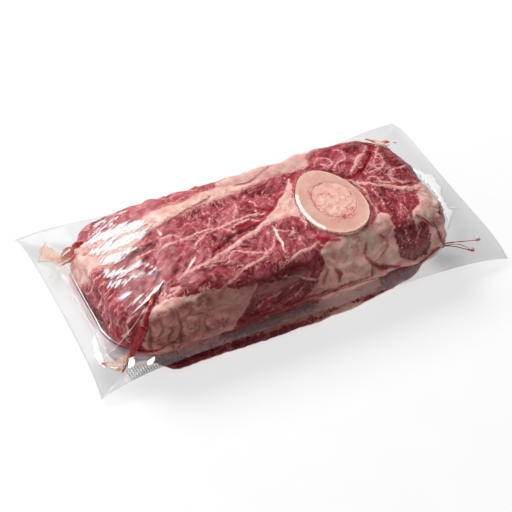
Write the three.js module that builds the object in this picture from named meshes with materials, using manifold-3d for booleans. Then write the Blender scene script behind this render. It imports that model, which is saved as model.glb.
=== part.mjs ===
// A raw bone-in beef shank, sealed in a clear vacuum bag and lying on its flat side.
//
// The meat is a thick rounded block with its cut faces above and below. An oval shaft of bone, with its
// core of marrow, runs through it from face to face. The bag is drawn tight over the meat, so out to the
// film the pack is the meat itself; the two films meet in a flat margin that stands out all round it.
//
// Units are millimetres. X runs along the pack, +Y to its back, +Z up; the origin is at the middle of the
// bag's outline, on the surface that the pack lies on.
import * as THREE from "three";
import { mergeVertices } from "three/addons/utils/BufferGeometryUtils.js";
import Module from "manifold-3d";

// ---- driving dimensions ----
const BAG = { length: 300, width: 165, thick: 1.2, cornerHeight: 3.5, droop: 1.2 };
const BAG_EDGE_FULLNESS = 0.8; // under 1, the drawn-in stretch of the edge starts nearer to its corners
const BAG_CORNER_POWER = 7; // higher keeps the drooping nearer to the corners
const BAG_WAVE = { height: 0.8, perSide: 4.3, start: 1 };
const MEAT = { height: 54, belly: 8, shoulder: 37 }; // heights of the face, widest ring and crown's foot
const SEAM = { height: 13.5, spread: 5, gap: 0.9 }; // where the films meet, how far they nip the meat
const FOOT = { inset: 11, power: 2.3 }; // how the belly rounds under into the face that it lies on
const CROWN_POWER = 2.2; // how squarely the sides round over into the upper face

// The meat's sides, anticlockwise from the front as seen from above. at: where the belly reaches; nip: how
// far the films draw it in at the seam; lean: how far the side leans in up to its shoulder; crown: how
// far it then rounds over; draw: how far the bag's edge is pulled in.
const SIDES = [
  { at: -81, nip: 8, lean: 9, crown: 15, draw: 3 },
  { at: 115, nip: 5, lean: 2, crown: 18, draw: 2.5 },
  { at: 43, nip: 4, lean: 8, crown: 21, draw: 20 },
  { at: -132, nip: 4, lean: 5, crown: 30, draw: 2.5 },
];
const CORNERS = SIDES.length;
const CORNER_RADII = [32, 28, 36, 26]; // front left, front right, back right, back left
const RADIUS_LOSS = 0.6; // of a corner's radius for each millimetre that a ring lies further in
const LEAST_RADIUS = 9;
// The slow in-and-out of the sides: waves of these sizes, by how many go round the meat.
const WANDER = [
  { waves: 3, size: 0.9, start: 0.6 },
  { waves: 7, size: 0.7, start: 2.1 },
  { waves: 13, size: 0.4, start: 0 },
];
const BONE = { x: 38.5, y: -29.5, acrossX: 44, acrossY: 67, egg: 0.12 };
const MARROW = { x: 41, y: -29.5, acrossX: 28, acrossY: 37, egg: 0.03 };
const BONE_RISE = 1.4; // of the bone's cut end above the meat
const MARROW_SINK = 0.8; // of the marrow below the bone's cut end
const GAP = 0.35; // between neighbouring pieces

// The upper face's broad swells and hollows, each a soft mound of the given rise.
const MOUNDS = [
  { x: 39, y: -29, reachX: 45, reachY: 50, rise: 1.6 },
  { x: -60, y: -30, reachX: 50, reachY: 22, rise: 1.2 },
  { x: 70, y: 8, reachX: 22, reachY: 16, rise: 1.4 },
  { x: -10, y: -2, reachX: 70, reachY: 5, rise: -1.3 },
  { x: 72, y: -50, reachX: 12, reachY: 18, rise: -1.2 },
];
const LEFT_FALL = { drop: 5, from: 60, to: 112 };
const RIGHT_FALL = { drop: 4, from: 75, to: 108 };

// ---- how finely the faceted solids are cut ----
const STEPS_PER_SIDE = [26, 14, 26, 14];
const FOOT_RINGS = 4;
const SIDE_HEIGHTS = [11, SEAM.height, 16, 20, 26, 32];
const CROWN_RINGS = 7;
const FACE_RINGS = 5;
const FACE_REACH = 0.7; // of the way in to the middle line that the face's last ring lies
const MARGIN_RINGS = 4;
const OVAL_STEPS = 44;
const DRILL_REACH = 20; // how far the drill for the bone passes the meat

const smooth = THREE.MathUtils.smoothstep;

// ---- the meat's outline ----

// How far the side stands out at a place, given by side number plus share of that side.
function wander(place) {
  const turn = (place / CORNERS) * 2 * Math.PI;
  return WANDER.reduce((sum, w) => sum + w.size * Math.sin(w.waves * turn + w.start), 0);
}

// The outline's corner before side number i, its sides moved inwards by their insets.
function cornerOf(i, insets) {
  const lines = SIDES.map(({ at }, side) => at - Math.sign(at) * insets[side]);
  const upright = i % 2 === 0 ? (i + CORNERS - 1) % CORNERS : i;
  const level = i % 2 === 0 ? i : (i + CORNERS - 1) % CORNERS;
  return new THREE.Vector2(lines[upright], lines[level]);
}

// The rounding of the same corner, smaller on the rings that lie further in.
function radiusOf(i, insets) {
  const inwards = (insets[i] + insets[(i + CORNERS - 1) % CORNERS]) / 2;
  return Math.max(CORNER_RADII[i] - RADIUS_LOSS * inwards, LEAST_RADIUS);
}

// A point of the outline: each side runs from the middle of one corner's arc to the middle of the next,
// and share is 0 to 1 along it.
function outlinePoint(side, share, insets) {
  const next = (side + 1) % CORNERS;
  const start = cornerOf(side, insets);
  const along = cornerOf(next, insets).sub(start);
  const full = along.length();
  along.normalize();
  const [startRadius, endRadius] = [radiusOf(side, insets), radiusOf(next, insets)];
  const startArc = (startRadius * Math.PI) / 4;
  const endArc = (endRadius * Math.PI) / 4;
  const straight = full - startRadius - endRadius;
  const travelled = share * (startArc + straight + endArc);
  let advance = startRadius + travelled - startArc;
  let depth = 0;
  if (travelled < startArc) {
    const angle = (startArc - travelled) / startRadius;
    advance = startRadius * (1 - Math.sin(angle));
    depth = startRadius * (1 - Math.cos(angle));
  } else if (travelled > startArc + straight) {
    const angle = (travelled - startArc - straight) / endRadius;
    advance = full - endRadius * (1 - Math.sin(angle));
    depth = endRadius * (1 - Math.cos(angle));
  }
  const inwards = new THREE.Vector2(-along.y, along.x);
  return start.addScaledVector(along, advance).addScaledVector(inwards, depth - wander(side + share));
}

// Every place round the meat, as [side, share].
function places() {
  return STEPS_PER_SIDE.flatMap((steps, side) =>
    Array.from({ length: steps }, (_, i) => [side, i / steps]),
  );
}

// ---- the meat's heights ----

// Height of the upper cut face: it falls off to both ends and swells a little over the muscles.
function faceHeight(x, y) {
  const falls = LEFT_FALL.drop * smooth(-x, LEFT_FALL.from, LEFT_FALL.to)
    + RIGHT_FALL.drop * smooth(x, RIGHT_FALL.from, RIGHT_FALL.to);
  const swells = MOUNDS.map((m) =>
    m.rise * Math.exp(-(((x - m.x) / m.reachX) ** 2) - ((y - m.y) / m.reachY) ** 2));
  return MEAT.height - falls + swells.reduce((sum, swell) => sum + swell, 0);
}

// A quarter of a squared circle, in rings: over runs 0 to 1 inwards while up runs 0 to 1.
function quarter(power, rings) {
  return Array.from({ length: rings }, (_, i) => {
    const angle = ((i + 1) / rings) * (Math.PI / 2);
    return { over: 1 - Math.cos(angle) ** (2 / power), up: Math.sin(angle) ** (2 / power) };
  });
}

// The insets of the four sides at a height between the belly and the shoulder.
function sideInsets(z) {
  const nipped = Math.exp(-(((z - SEAM.height) / SEAM.spread) ** 2));
  const leant = smooth(z, MEAT.belly, MEAT.shoulder);
  return SIDES.map(({ nip, lean }) => nip * nipped + lean * leant);
}

function meatRing(insets, height) {
  return places().map(([side, share]) => {
    const p = outlinePoint(side, share, insets);
    return new THREE.Vector3(p.x, p.y, height(p.x, p.y));
  });
}

// Rings that cross a face from the insets of its rim to near the middle line, rim first.
function faceRings(rim, height) {
  const halfWidth = (SIDES[2].at - SIDES[0].at - rim[0] - rim[2]) / 2;
  return Array.from({ length: FACE_RINGS }, (_, i) => {
    const further = (halfWidth * FACE_REACH * (i + 1)) / FACE_RINGS;
    return meatRing(rim.map((inset) => inset + further), height);
  });
}

// ---- making closed meshes from rings ----

// Skins a stack of rings, lowest first, and closes the lowest and the highest with flat faces.
function skinRings(rings) {
  const count = rings[0].length;
  const points = rings.flat();
  const faces = [];
  for (let ring = 0; ring + 1 < rings.length; ring++)
    for (let i = 0; i < count; i++) {
      const next = (i + 1) % count;
      const [a, b] = [ring * count + i, ring * count + next];
      faces.push(a, b, b + count, a, b + count, a + count);
    }
  const last = (rings.length - 1) * count;
  for (const [a, b, c] of THREE.ShapeUtils.triangulateShape(rings[0], [])) faces.push(c, b, a);
  for (const cap of THREE.ShapeUtils.triangulateShape(rings.at(-1), [])) {
    const [a, b, c] = cap.map((i) => last + i);
    faces.push(a, b, c);
  }
  return indexed(points, faces);
}

// Skins a loop of rings that closes on itself, as round a flat frame.
function skinLoop(rings) {
  const count = rings[0].length;
  const faces = [];
  rings.forEach((_, ring) => {
    const above = ((ring + 1) % rings.length) * count;
    for (let i = 0; i < count; i++) {
      const next = (i + 1) % count;
      const [a, b] = [ring * count + i, ring * count + next];
      faces.push(a, b, above + next, a, above + next, above + i);
    }
  });
  return indexed(rings.flat(), faces);
}

function indexed(points, faces) {
  const geometry = new THREE.BufferGeometry().setFromPoints(points);
  geometry.setIndex(faces);
  geometry.computeVertexNormals();
  return geometry;
}

// ---- cutting ----
const wasm = await Module();
wasm.setup();

function toSolid(geometry) {
  const bare = geometry.clone();
  bare.deleteAttribute("normal");
  bare.deleteAttribute("uv");
  const merged = mergeVertices(bare);
  return new wasm.Manifold(new wasm.Mesh({
    numProp: 3,
    vertProperties: merged.attributes.position.array,
    triVerts: new Uint32Array(merged.index.array),
  }));
}

function toGeometry(solid) {
  const { vertProperties, triVerts, numProp } = solid.getMesh();
  const points = [];
  for (let i = 0; i < vertProperties.length; i += numProp)
    points.push(new THREE.Vector3(...vertProperties.subarray(i, i + 3)));
  return indexed(points, [...triVerts]);
}

function cut(geometry, tool) {
  return toGeometry(toSolid(geometry).subtract(toSolid(tool)));
}

// ---- the pieces ----

function beefBlock() {
  const foot = quarter(FOOT.power, FOOT_RINGS)
    .map(({ over, up }) => meatRing(SIDES.map(() => FOOT.inset * over), () => MEAT.belly * (1 - up)))
    .reverse();
  const under = faceRings(SIDES.map(() => FOOT.inset), () => 0).reverse();
  const flanks = [MEAT.belly, ...SIDE_HEIGHTS, MEAT.shoulder].map((z) => meatRing(sideInsets(z), () => z));
  const shoulder = sideInsets(MEAT.shoulder);
  const crown = quarter(CROWN_POWER, CROWN_RINGS).map(({ over, up }) =>
    meatRing(
      shoulder.map((inset, side) => inset + SIDES[side].crown * over),
      (x, y) => THREE.MathUtils.lerp(MEAT.shoulder, faceHeight(x, y), up),
    ));
  const face = faceRings(shoulder.map((inset, side) => inset + SIDES[side].crown), faceHeight);
  return skinRings([...under, ...foot, ...flanks, ...crown, ...face]);
}

// An upright oval shaft, a little narrower towards the back, grown outwards by grow.
function ovalShaft(oval, bottom, top, grow) {
  const ring = (z) => Array.from({ length: OVAL_STEPS }, (_, i) => {
    const angle = (i / OVAL_STEPS) * 2 * Math.PI;
    const taper = 1 - oval.egg * Math.sin(angle);
    return new THREE.Vector3(
      oval.x + (oval.acrossX / 2 + grow) * Math.cos(angle) * taper,
      oval.y + (oval.acrossY / 2 + grow) * Math.sin(angle),
      z,
    );
  });
  return skinRings([ring(bottom), ring(top)]);
}

// The bag's outer edge: straight between its corners but drawn in along the middle of each side.
function bagEdge(side, share) {
  const [x, y] = [BAG.length / 2, BAG.width / 2];
  const corners = [[-x, -y], [x, -y], [x, y], [-x, y]].map(([cx, cy]) => new THREE.Vector2(cx, cy));
  const start = corners[side];
  const along = corners[(side + 1) % CORNERS].clone().sub(start);
  const inwards = new THREE.Vector2(-along.y, along.x).normalize();
  const drawn = SIDES[side].draw * Math.sin(Math.PI * share) ** BAG_EDGE_FULLNESS;
  return start.clone().addScaledVector(along, share).addScaledVector(inwards, drawn);
}

// Height of the margin's middle, out being 0 at the meat and 1 at the bag's edge; it waves a little.
function marginHeight(side, share, out) {
  const nearCorner = Math.abs(2 * share - 1) ** BAG_CORNER_POWER;
  const edge = THREE.MathUtils.lerp(SEAM.height - BAG.droop, BAG.cornerHeight, nearCorner);
  const wave = BAG_WAVE.height * Math.sin((side + share) * BAG_WAVE.perSide + BAG_WAVE.start);
  return THREE.MathUtils.lerp(SEAM.height, edge + wave * (1 - nearCorner), out);
}

function bagMargin() {
  const nipped = sideInsets(SEAM.height).map((inset) => inset - SEAM.gap);
  const ring = (out, lift) => places().map(([side, share]) => {
    const p = outlinePoint(side, share, nipped).lerp(bagEdge(side, share), out);
    return new THREE.Vector3(p.x, p.y, marginHeight(side, share, out) + lift);
  });
  const shares = Array.from({ length: MARGIN_RINGS + 1 }, (_, i) => i / MARGIN_RINGS);
  const upper = shares.toReversed().map((out) => ring(out, BAG.thick / 2));
  const lower = shares.map((out) => ring(out, -BAG.thick / 2));
  return skinLoop([...upper, ...lower]);
}

function piece(name, geometry, color, roughness) {
  const mesh = new THREE.Mesh(geometry, new THREE.MeshStandardMaterial({ color, roughness, metalness: 0 }));
  mesh.name = name;
  return mesh;
}

const boneTop = faceHeight(BONE.x, BONE.y) + BONE_RISE;
const marrowTop = boneTop - MARROW_SINK;
const boneDrill = ovalShaft(BONE, -DRILL_REACH, MEAT.height + DRILL_REACH, GAP);
const marrowDrill = ovalShaft(MARROW, -DRILL_REACH, MEAT.height + DRILL_REACH, GAP);

const shank = new THREE.Group();
shank.add(
  piece("beef", cut(beefBlock(), boneDrill), 0x9a4048, 0.45),
  piece("bone", cut(ovalShaft(BONE, 0, boneTop, 0), marrowDrill), 0xe6c4b0, 0.5),
  piece("marrow", ovalShaft(MARROW, 0, marrowTop, 0), 0xe9b3a4, 0.4),
  piece("bag", bagMargin(), 0xdfe1e2, 0.2),
);

export default shank;
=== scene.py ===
"""The looks of a raw beef shank with its marrow bone, sealed in a clear vacuum bag.

Lengths are millimetres and are turned into metres as each mesh is made. X runs along the pack, +Y to its
back, +Z up. The meat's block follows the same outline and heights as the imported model.
"""

from __future__ import annotations

import itertools
import logging
import math
from dataclasses import dataclass, field
from enum import Enum
from typing import Any, Callable, Sequence
import bpy
import numpy as np
from bpy.types import Material, Node, NodeSocket, Object
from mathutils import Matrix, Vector


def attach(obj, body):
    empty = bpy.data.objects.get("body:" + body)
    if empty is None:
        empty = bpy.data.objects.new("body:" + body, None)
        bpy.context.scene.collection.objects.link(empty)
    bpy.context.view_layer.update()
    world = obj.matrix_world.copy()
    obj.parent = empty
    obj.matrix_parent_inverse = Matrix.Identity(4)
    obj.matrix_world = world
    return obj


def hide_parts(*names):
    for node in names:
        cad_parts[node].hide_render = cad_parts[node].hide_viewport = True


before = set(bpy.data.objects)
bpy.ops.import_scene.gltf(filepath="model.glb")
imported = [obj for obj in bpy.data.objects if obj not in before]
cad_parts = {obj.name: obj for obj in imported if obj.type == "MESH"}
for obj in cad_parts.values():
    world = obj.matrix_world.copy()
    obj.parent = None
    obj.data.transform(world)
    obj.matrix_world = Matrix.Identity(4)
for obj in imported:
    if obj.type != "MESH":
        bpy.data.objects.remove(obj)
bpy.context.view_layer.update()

MM = 0.001
BODY = "root"
LEFT_END_PLACE = 3.5
Array = np.ndarray
Colour = tuple[int, int, int]
Pair = tuple[float, float]
Triple = tuple[float, float, float]
Path = tuple[tuple[float, ...], ...]
log = logging.getLogger("shank")


# ---- small mathematics


def ramp(value: Array, low: float, high: float) -> Array:
    """Smooth step from 0 at low to 1 at high."""
    share = np.clip((value - low) / (high - low), 0, 1)
    return share * share * (3 - 2 * share)


def mix(first: Array, second: Array, share: Array) -> Array:
    """First where share is 0, second where it is 1."""
    return first + (second - first) * share


def full_turn(steps: int) -> Array:
    """Even angles once round, in radians."""
    return np.arange(steps) / steps * 2 * math.pi


def perlin(points: Array, seed: int) -> Array:
    """Gradient noise, about -1 to 1, with one feature to each unit of length.

    Args:
        points: places, one row of x, y, z each.
        seed: picks the pattern.

    Returns:
        One value for each place.
    """
    base = np.floor(points).astype(np.int64)
    part = points - base
    ease = part**3 * (part * (part * 6 - 15) + 10)
    total = np.zeros(len(points))
    for corner in itertools.product((0, 1), repeat=3):
        cell = base + corner
        mixed = cell[:, 0] * 73856093 ^ cell[:, 1] * 19349663 ^ cell[:, 2] * 83492791 ^ seed * 2654435761
        mixed = (mixed ^ (mixed >> 13)) * 1274126177 & 0xFFFFFFFF
        mixed ^= mixed >> 16
        slope = np.stack([(mixed >> shift & 255) / 127.5 - 1 for shift in (0, 8, 16)], 1)
        weight = np.prod(np.where(corner, ease, 1 - ease), 1)
        total += weight * ((part - corner) * slope).sum(1)
    return total * 1.2


def cloud(points: Array, size: float, seed: int, octaves: int = 3) -> Array:
    """Layered noise, about -1 to 1, with features of a size in millimetres."""
    layers = (perlin(points / size * 2**k, seed + 17 * k) * 0.5**k for k in range(octaves))
    return sum(layers)


def rounded(points: Sequence[Sequence[float]], closed: bool, steps: int = 4) -> Array:
    """A Catmull-Rom curve through the given points.

    Args:
        points: rows of any width, which are all carried along the curve.
        closed: whether the last point runs on to the first.
        steps: pieces to each stretch.

    Returns:
        The curve's points, one row each.
    """
    knots = np.asarray(points, float)
    if closed:
        knots = np.vstack([knots[-1:], knots, knots[:2]])
    else:
        knots = np.vstack([2 * knots[:1] - knots[1:2], knots, 2 * knots[-1:] - knots[-2:-1]])
    rows = []
    for a, b, c, d in zip(knots, knots[1:], knots[2:], knots[3:]):
        for t in np.arange(steps) / steps:
            slope, bend, twist = c - a, 2 * a - 5 * b + 4 * c - d, 3 * b - a - 3 * c + d
            rows.append(0.5 * (2 * b + slope * t + bend * t**2 + twist * t**3))
    if not closed:
        rows.append(knots[-2])
    return np.array(rows)


def nearest_on_path(u: Array, v: Array, path: Array) -> tuple[Array, Array]:
    """How near each place is to a path.

    Args:
        u: first coordinates.
        v: second coordinates.
        path: rows of u, v and a half width.

    Returns:
        The depth inside the path's band, and the plain distance to its middle line.
    """
    depth = np.full(len(u), -1e3)
    distance = np.full(len(u), 1e3)
    for (u0, v0, w0), (u1, v1, w1) in zip(path, path[1:]):
        du, dv = u1 - u0, v1 - v0
        share = np.clip(((u - u0) * du + (v - v0) * dv) / max(du * du + dv * dv, 1e-9), 0, 1)
        away = np.hypot(u - u0 - share * du, v - v0 - share * dv)
        depth = np.maximum(depth, w0 + (w1 - w0) * share - away)
        distance = np.minimum(distance, away)
    return depth, distance


def depth_inside(u: Array, v: Array, path: Path) -> Array:
    """Signed depth inside a band, whose points have a half width, or an area, whose points have none.

    Args:
        u: first coordinates.
        v: second coordinates.
        path: the band's middle line or the area's closed outline.

    Returns:
        Millimetres from the edge, positive inside it.
    """
    if len(path[0]) == 3:
        return nearest_on_path(u, v, rounded(path, closed=False))[0]
    outline = rounded(path, closed=True, steps=3)
    inside = np.zeros(len(u), bool)
    for (u0, v0), (u1, v1) in zip(outline, np.roll(outline, -1, 0)):
        if v0 != v1:
            crosses = (v0 > v) != (v1 > v)
            inside ^= crosses & (u < (u1 - u0) * (v - v0) / (v1 - v0) + u0)
    line = np.column_stack([np.vstack([outline, outline[:1]]), np.zeros(len(outline) + 1)])
    away = nearest_on_path(u, v, line)[1]
    return np.where(inside, away, -away)


def neighbours(values: Array, axis: int, reach: int) -> list[Array]:
    """A grid moved each way by up to a reach, its second axis closing on itself and its first one not.

    Args:
        values: The grid, of any number of channels.
        axis: The axis to move along.
        reach: The most steps to move.

    Returns:
        The moved grids, without the unmoved one.
    """
    moved = []
    rows = np.arange(len(values))
    for way in (sign * step for step in range(1, reach + 1) for sign in (-1, 1)):
        near = np.roll(values, way, axis)
        if axis == 0:
            past_end = (rows < way) | (rows >= len(values) + way)
            near = np.where(past_end[:, None], values, near)
        moved.append(near)
    return moved


def widened(values: Array, reach: int) -> Array:
    """The highest value near each point of a grid.

    Args:
        values: The grid.
        reach: How many steps away is near.

    Returns:
        The grid of highest values.
    """
    for axis in (0, 1):
        values = np.maximum.reduce([values, *neighbours(values, axis, reach)])
    return values


def blurred(values: Array, reach: int) -> Array:
    """A grid's values averaged over near points, twice.

    Args:
        values: The grid.
        reach: How many steps away is near.

    Returns:
        The averaged grid.
    """
    for axis in (0, 1, 0, 1):
        values = sum(neighbours(values, axis, reach), values) / (2 * reach + 1)
    return values


# ---- meshes


def mesh_object(
    name: str, points: Array, faces: Sequence[Sequence[int]], smooth: bool = True, edges: Sequence[Any] = ()
) -> Object:
    """Makes a mesh object at the origin.

    Args:
        name: the object's name.
        points: places in millimetres.
        faces: corner numbers of each face, anticlockwise from outside.
        smooth: whether the faces are shaded smooth.
        edges: point numbers of each edge of a wire.

    Returns:
        The object, linked to the scene.
    """
    mesh = bpy.data.meshes.new(name)
    mesh.from_pydata((np.asarray(points) * MM).tolist(), edges, [tuple(f) for f in faces])
    mesh.polygons.foreach_set("use_smooth", [smooth] * len(mesh.polygons))
    mesh.update()
    piece = bpy.data.objects.new(name, mesh)
    bpy.context.scene.collection.objects.link(piece)
    return piece


def ring_quads(rings: int, count: int) -> list[list[int]]:
    """Faces between the rings of a stack whose points run clockwise, seen from its last ring.

    Args:
        rings: Number of rings.
        count: Points in each ring.

    Returns:
        The faces as lists of four points.
    """
    index = np.arange(rings * count).reshape(rings, count)
    right = np.roll(index, -1, 1)
    return np.stack([index[:-1], index[1:], right[1:], right[:-1]], -1).reshape(-1, 4).tolist()


def loft_faces(rings: int, count: int) -> list[list[int]]:
    """Faces of a stack of rings, lowest first, each end closed with a row of faces across it.

    Args:
        rings: how many rings.
        count: points to a ring, anticlockwise from above.

    Returns:
        Corner numbers of each face.
    """
    left_end = round(LEFT_END_PLACE / 4 * count)
    steps = np.arange(count // 2)
    near, far = (left_end + steps) % count, (left_end - 1 - steps) % count
    across = np.stack([near[:-1], near[1:], far[1:], far[:-1]], -1)
    top = across + (rings - 1) * count
    sides = [[a, d, c, b] for a, b, c, d in ring_quads(rings, count)]
    return [*sides, *across[:, ::-1].tolist(), *top.tolist()]


def ring_normals(rings: Array) -> Array:
    """Outward unit normals of a lofted grid of rings.

    Args:
        rings: The points, as rings by points by three.

    Returns:
        The normals, in the same shape.
    """
    along = np.roll(rings, -1, 1) - np.roll(rings, 1, 1)
    normals = np.cross(along, np.gradient(rings, axis=0))
    return normals / np.maximum(np.linalg.norm(normals, axis=-1, keepdims=True), 1e-9)


def set_values(piece: Object, **values: Array | float) -> None:
    """Stores numbers or vectors for the points of a piece, for its material to read.

    Args:
        piece: the piece.
        values: by name, a row for each point or one number for all of them.
    """
    for name, value in values.items():
        rows = np.asarray(value, float)
        if rows.ndim == 0:
            rows = np.full(len(piece.data.vertices), rows)
        kind, key = ("FLOAT", "value") if rows.ndim == 1 else ("FLOAT_VECTOR", "vector")
        store = piece.data.attributes.new(name, kind, "POINT")
        store.data.foreach_set(key, np.ascontiguousarray(rows, np.float32).ravel())


def settle(piece: Object, material: Material, slot: str = "", *nodes: str) -> Object:
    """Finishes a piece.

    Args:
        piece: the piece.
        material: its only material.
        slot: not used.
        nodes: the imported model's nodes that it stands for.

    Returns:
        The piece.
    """
    piece.data.materials.clear()
    piece.data.materials.append(material)
    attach(piece, BODY)
    if nodes:
        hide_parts(*nodes)
    log.info("%s: %d faces", piece.name, len(piece.data.polygons))
    return piece


# ---- materials


def tint(red: int, green: int, blue: int) -> tuple[float, float, float, float]:
    """A screen colour, 0 to 255 a channel, as linear light."""
    screen = (red / 255, green / 255, blue / 255)
    return (*(c / 12.92 if c <= 0.04045 else ((c + 0.055) / 1.055) ** 2.4 for c in screen), 1.0)


class Graph:
    """A short way to write a material's nodes."""

    def __init__(self, name: str) -> None:
        """Starts an empty material of the given name.

        Args:
            name: The material's name.
        """
        self.material = bpy.data.materials.new(name)
        self.material.use_nodes = True
        self.tree = self.material.node_tree
        self.tree.nodes.clear()

    def add(self, kind: str, inputs: dict[str | int, Any] | None = None, **settings: Any) -> Node:
        """Adds a node.

        Args:
            kind: the node's type, without its leading ShaderNode.
            inputs: sockets by name or number, each a value or another node's output.
            settings: the node's own properties.

        Returns:
            The node.
        """
        node = self.tree.nodes.new("ShaderNode" + kind)
        for key, value in settings.items():
            setattr(node, key, value)
        for key, value in (inputs or {}).items():
            if isinstance(value, NodeSocket):
                self.tree.links.new(value, node.inputs[key])
            else:
                node.inputs[key].default_value = value
        return node

    def value(self, name: str) -> NodeSocket:
        """The number that a piece stores under a name."""
        return self.add("Attribute", attribute_name=name).outputs["Fac"]

    def vector(self, name: str) -> NodeSocket:
        """The vector that a piece stores under a name."""
        return self.add("Attribute", attribute_name=name).outputs["Vector"]

    def place(self) -> NodeSocket:
        """The place on the object, in millimetres."""
        return self.stretched(self.add("TexCoord").outputs["Object"], (1 / MM,) * 3)

    def stretched(self, at: Any, factors: Triple) -> NodeSocket:
        """A place with each axis multiplied by its own factor."""
        return self.add("VectorMath", {0: at, 1: factors}, operation="MULTIPLY").outputs[0]

    def math(self, operation: str, *values: Any, clamp: bool = False) -> NodeSocket:
        """The result of a sum on numbers."""
        return self.add("Math", dict(enumerate(values)), operation=operation, use_clamp=clamp).outputs[0]

    def plus(self, first: Any, second: Any) -> NodeSocket:
        """Two numbers added."""
        return self.math("ADD", first, second)

    def times(self, first: Any, second: Any) -> NodeSocket:
        """Two numbers multiplied."""
        return self.math("MULTIPLY", first, second)

    def most(self, first: Any, second: Any) -> NodeSocket:
        """The greater of two numbers."""
        return self.math("MAXIMUM", first, second)

    def span(self, value: Any, low: float, high: float, first: float = 0, last: float = 1) -> NodeSocket:
        """A smooth step from first at low to last at high."""
        inputs = {"Value": value, "From Min": low, "From Max": high, "To Min": first, "To Max": last}
        return self.add("MapRange", inputs, interpolation_type="SMOOTHSTEP").outputs["Result"]

    def stirred(self, value: Any, by: Any, low: float, high: float, depth: float) -> NodeSocket:
        """A number with a noise added, from less a depth at low to plus a depth at high."""
        return self.plus(value, self.span(by, low, high, -depth, depth))

    def noise(
        self, at: Any, size: float, detail: float = 3, rough: float = 0.55, warp: float = 0, give: str = "Fac"
    ) -> NodeSocket:
        """Noise with features of a size in the units of the place, as a number or a colour."""
        inputs = {"Vector": at, "Scale": 1 / size, "Detail": detail, "Roughness": rough, "Distortion": warp}
        return self.add("TexNoise", inputs).outputs[give]

    def threads(self, at: Any, size: float, stretch: Triple, width: float, gate: Pair) -> NodeSocket:
        """Wandering threads that come and go.

        Args:
            at: the place.
            size: millimetres between threads.
            stretch: factor on each axis.
            width: the threads' half width, as a share of their noise's range.
            gate: the noise values from which threads start to show and show fully.

        Returns:
            1 on a thread and 0 away from it.
        """
        wander = self.noise(self.stretched(at, stretch), size, 4, 0.6, 0.4)
        away = self.math("ABSOLUTE", self.math("SUBTRACT", wander, 0.5))
        line = self.span(away, width * 0.25, width, 1, 0)
        return self.times(line, self.span(self.noise(at, size * 1.3, 2), *gate))

    def blend(self, share: Any, first: Any, second: Any, how: str = "MIX") -> NodeSocket:
        """Mixes two colours.

        Args:
            share: how much of the second.
            first: a screen colour, linear light with its alpha, or a node's output.
            second: the same.
            how: the way of mixing.

        Returns:
            The mixed colour.
        """
        node = self.add("Mix", data_type="RGBA", blend_type=how)
        for key, value in ((0, share), (6, first), (7, second)):
            if isinstance(value, NodeSocket):
                self.tree.links.new(value, node.inputs[key])
            else:
                screen = isinstance(value, tuple) and len(value) == 3
                node.inputs[key].default_value = tint(*value) if screen else value
        return node.outputs[2]

    def bump(self, height: Any, distance: float, strength: float = 1, normal: Any = None) -> NodeSocket:
        """A bump of a depth in millimetres, over another if given.

        Args:
            height: The height that is raised.
            distance: Its depth in millimetres.
            strength: Share of it that shows.
            normal: The bump beneath, if any.

        Returns:
            The bumped normal.
        """
        inputs = {"Height": height, "Distance": distance * MM, "Strength": strength}
        if normal is not None:
            inputs["Normal"] = normal
        return self.add("Bump", inputs).outputs["Normal"]

    def skin(self, colour: Any, roughness: float, normal: Any, shine: float = 0.5) -> NodeSocket:
        """A plain surface of the given colour, roughness, bump and shine."""
        inputs = {"Base Color": colour, "Roughness": roughness, "Specular IOR Level": shine, "Normal": normal}
        return self.add("BsdfPrincipled", inputs).outputs[0]

    def merge(self, share: Any, first: NodeSocket, second: NodeSocket) -> NodeSocket:
        """Two shaders mixed by a share of the second."""
        return self.add("MixShader", {0: share, 1: first, 2: second}).outputs[0]

    def finish(self, shader: NodeSocket) -> Material:
        """Ends the material in the given shader and returns it."""
        self.add("OutputMaterial", {"Surface": shader})
        return self.material


# ---- the meat's block


@dataclass(frozen=True)
class Side:
    """One side of the block: where its belly is, and how far it is nipped, leans and rounds over."""

    at: float
    nip: float
    lean: float
    crown: float


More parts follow.
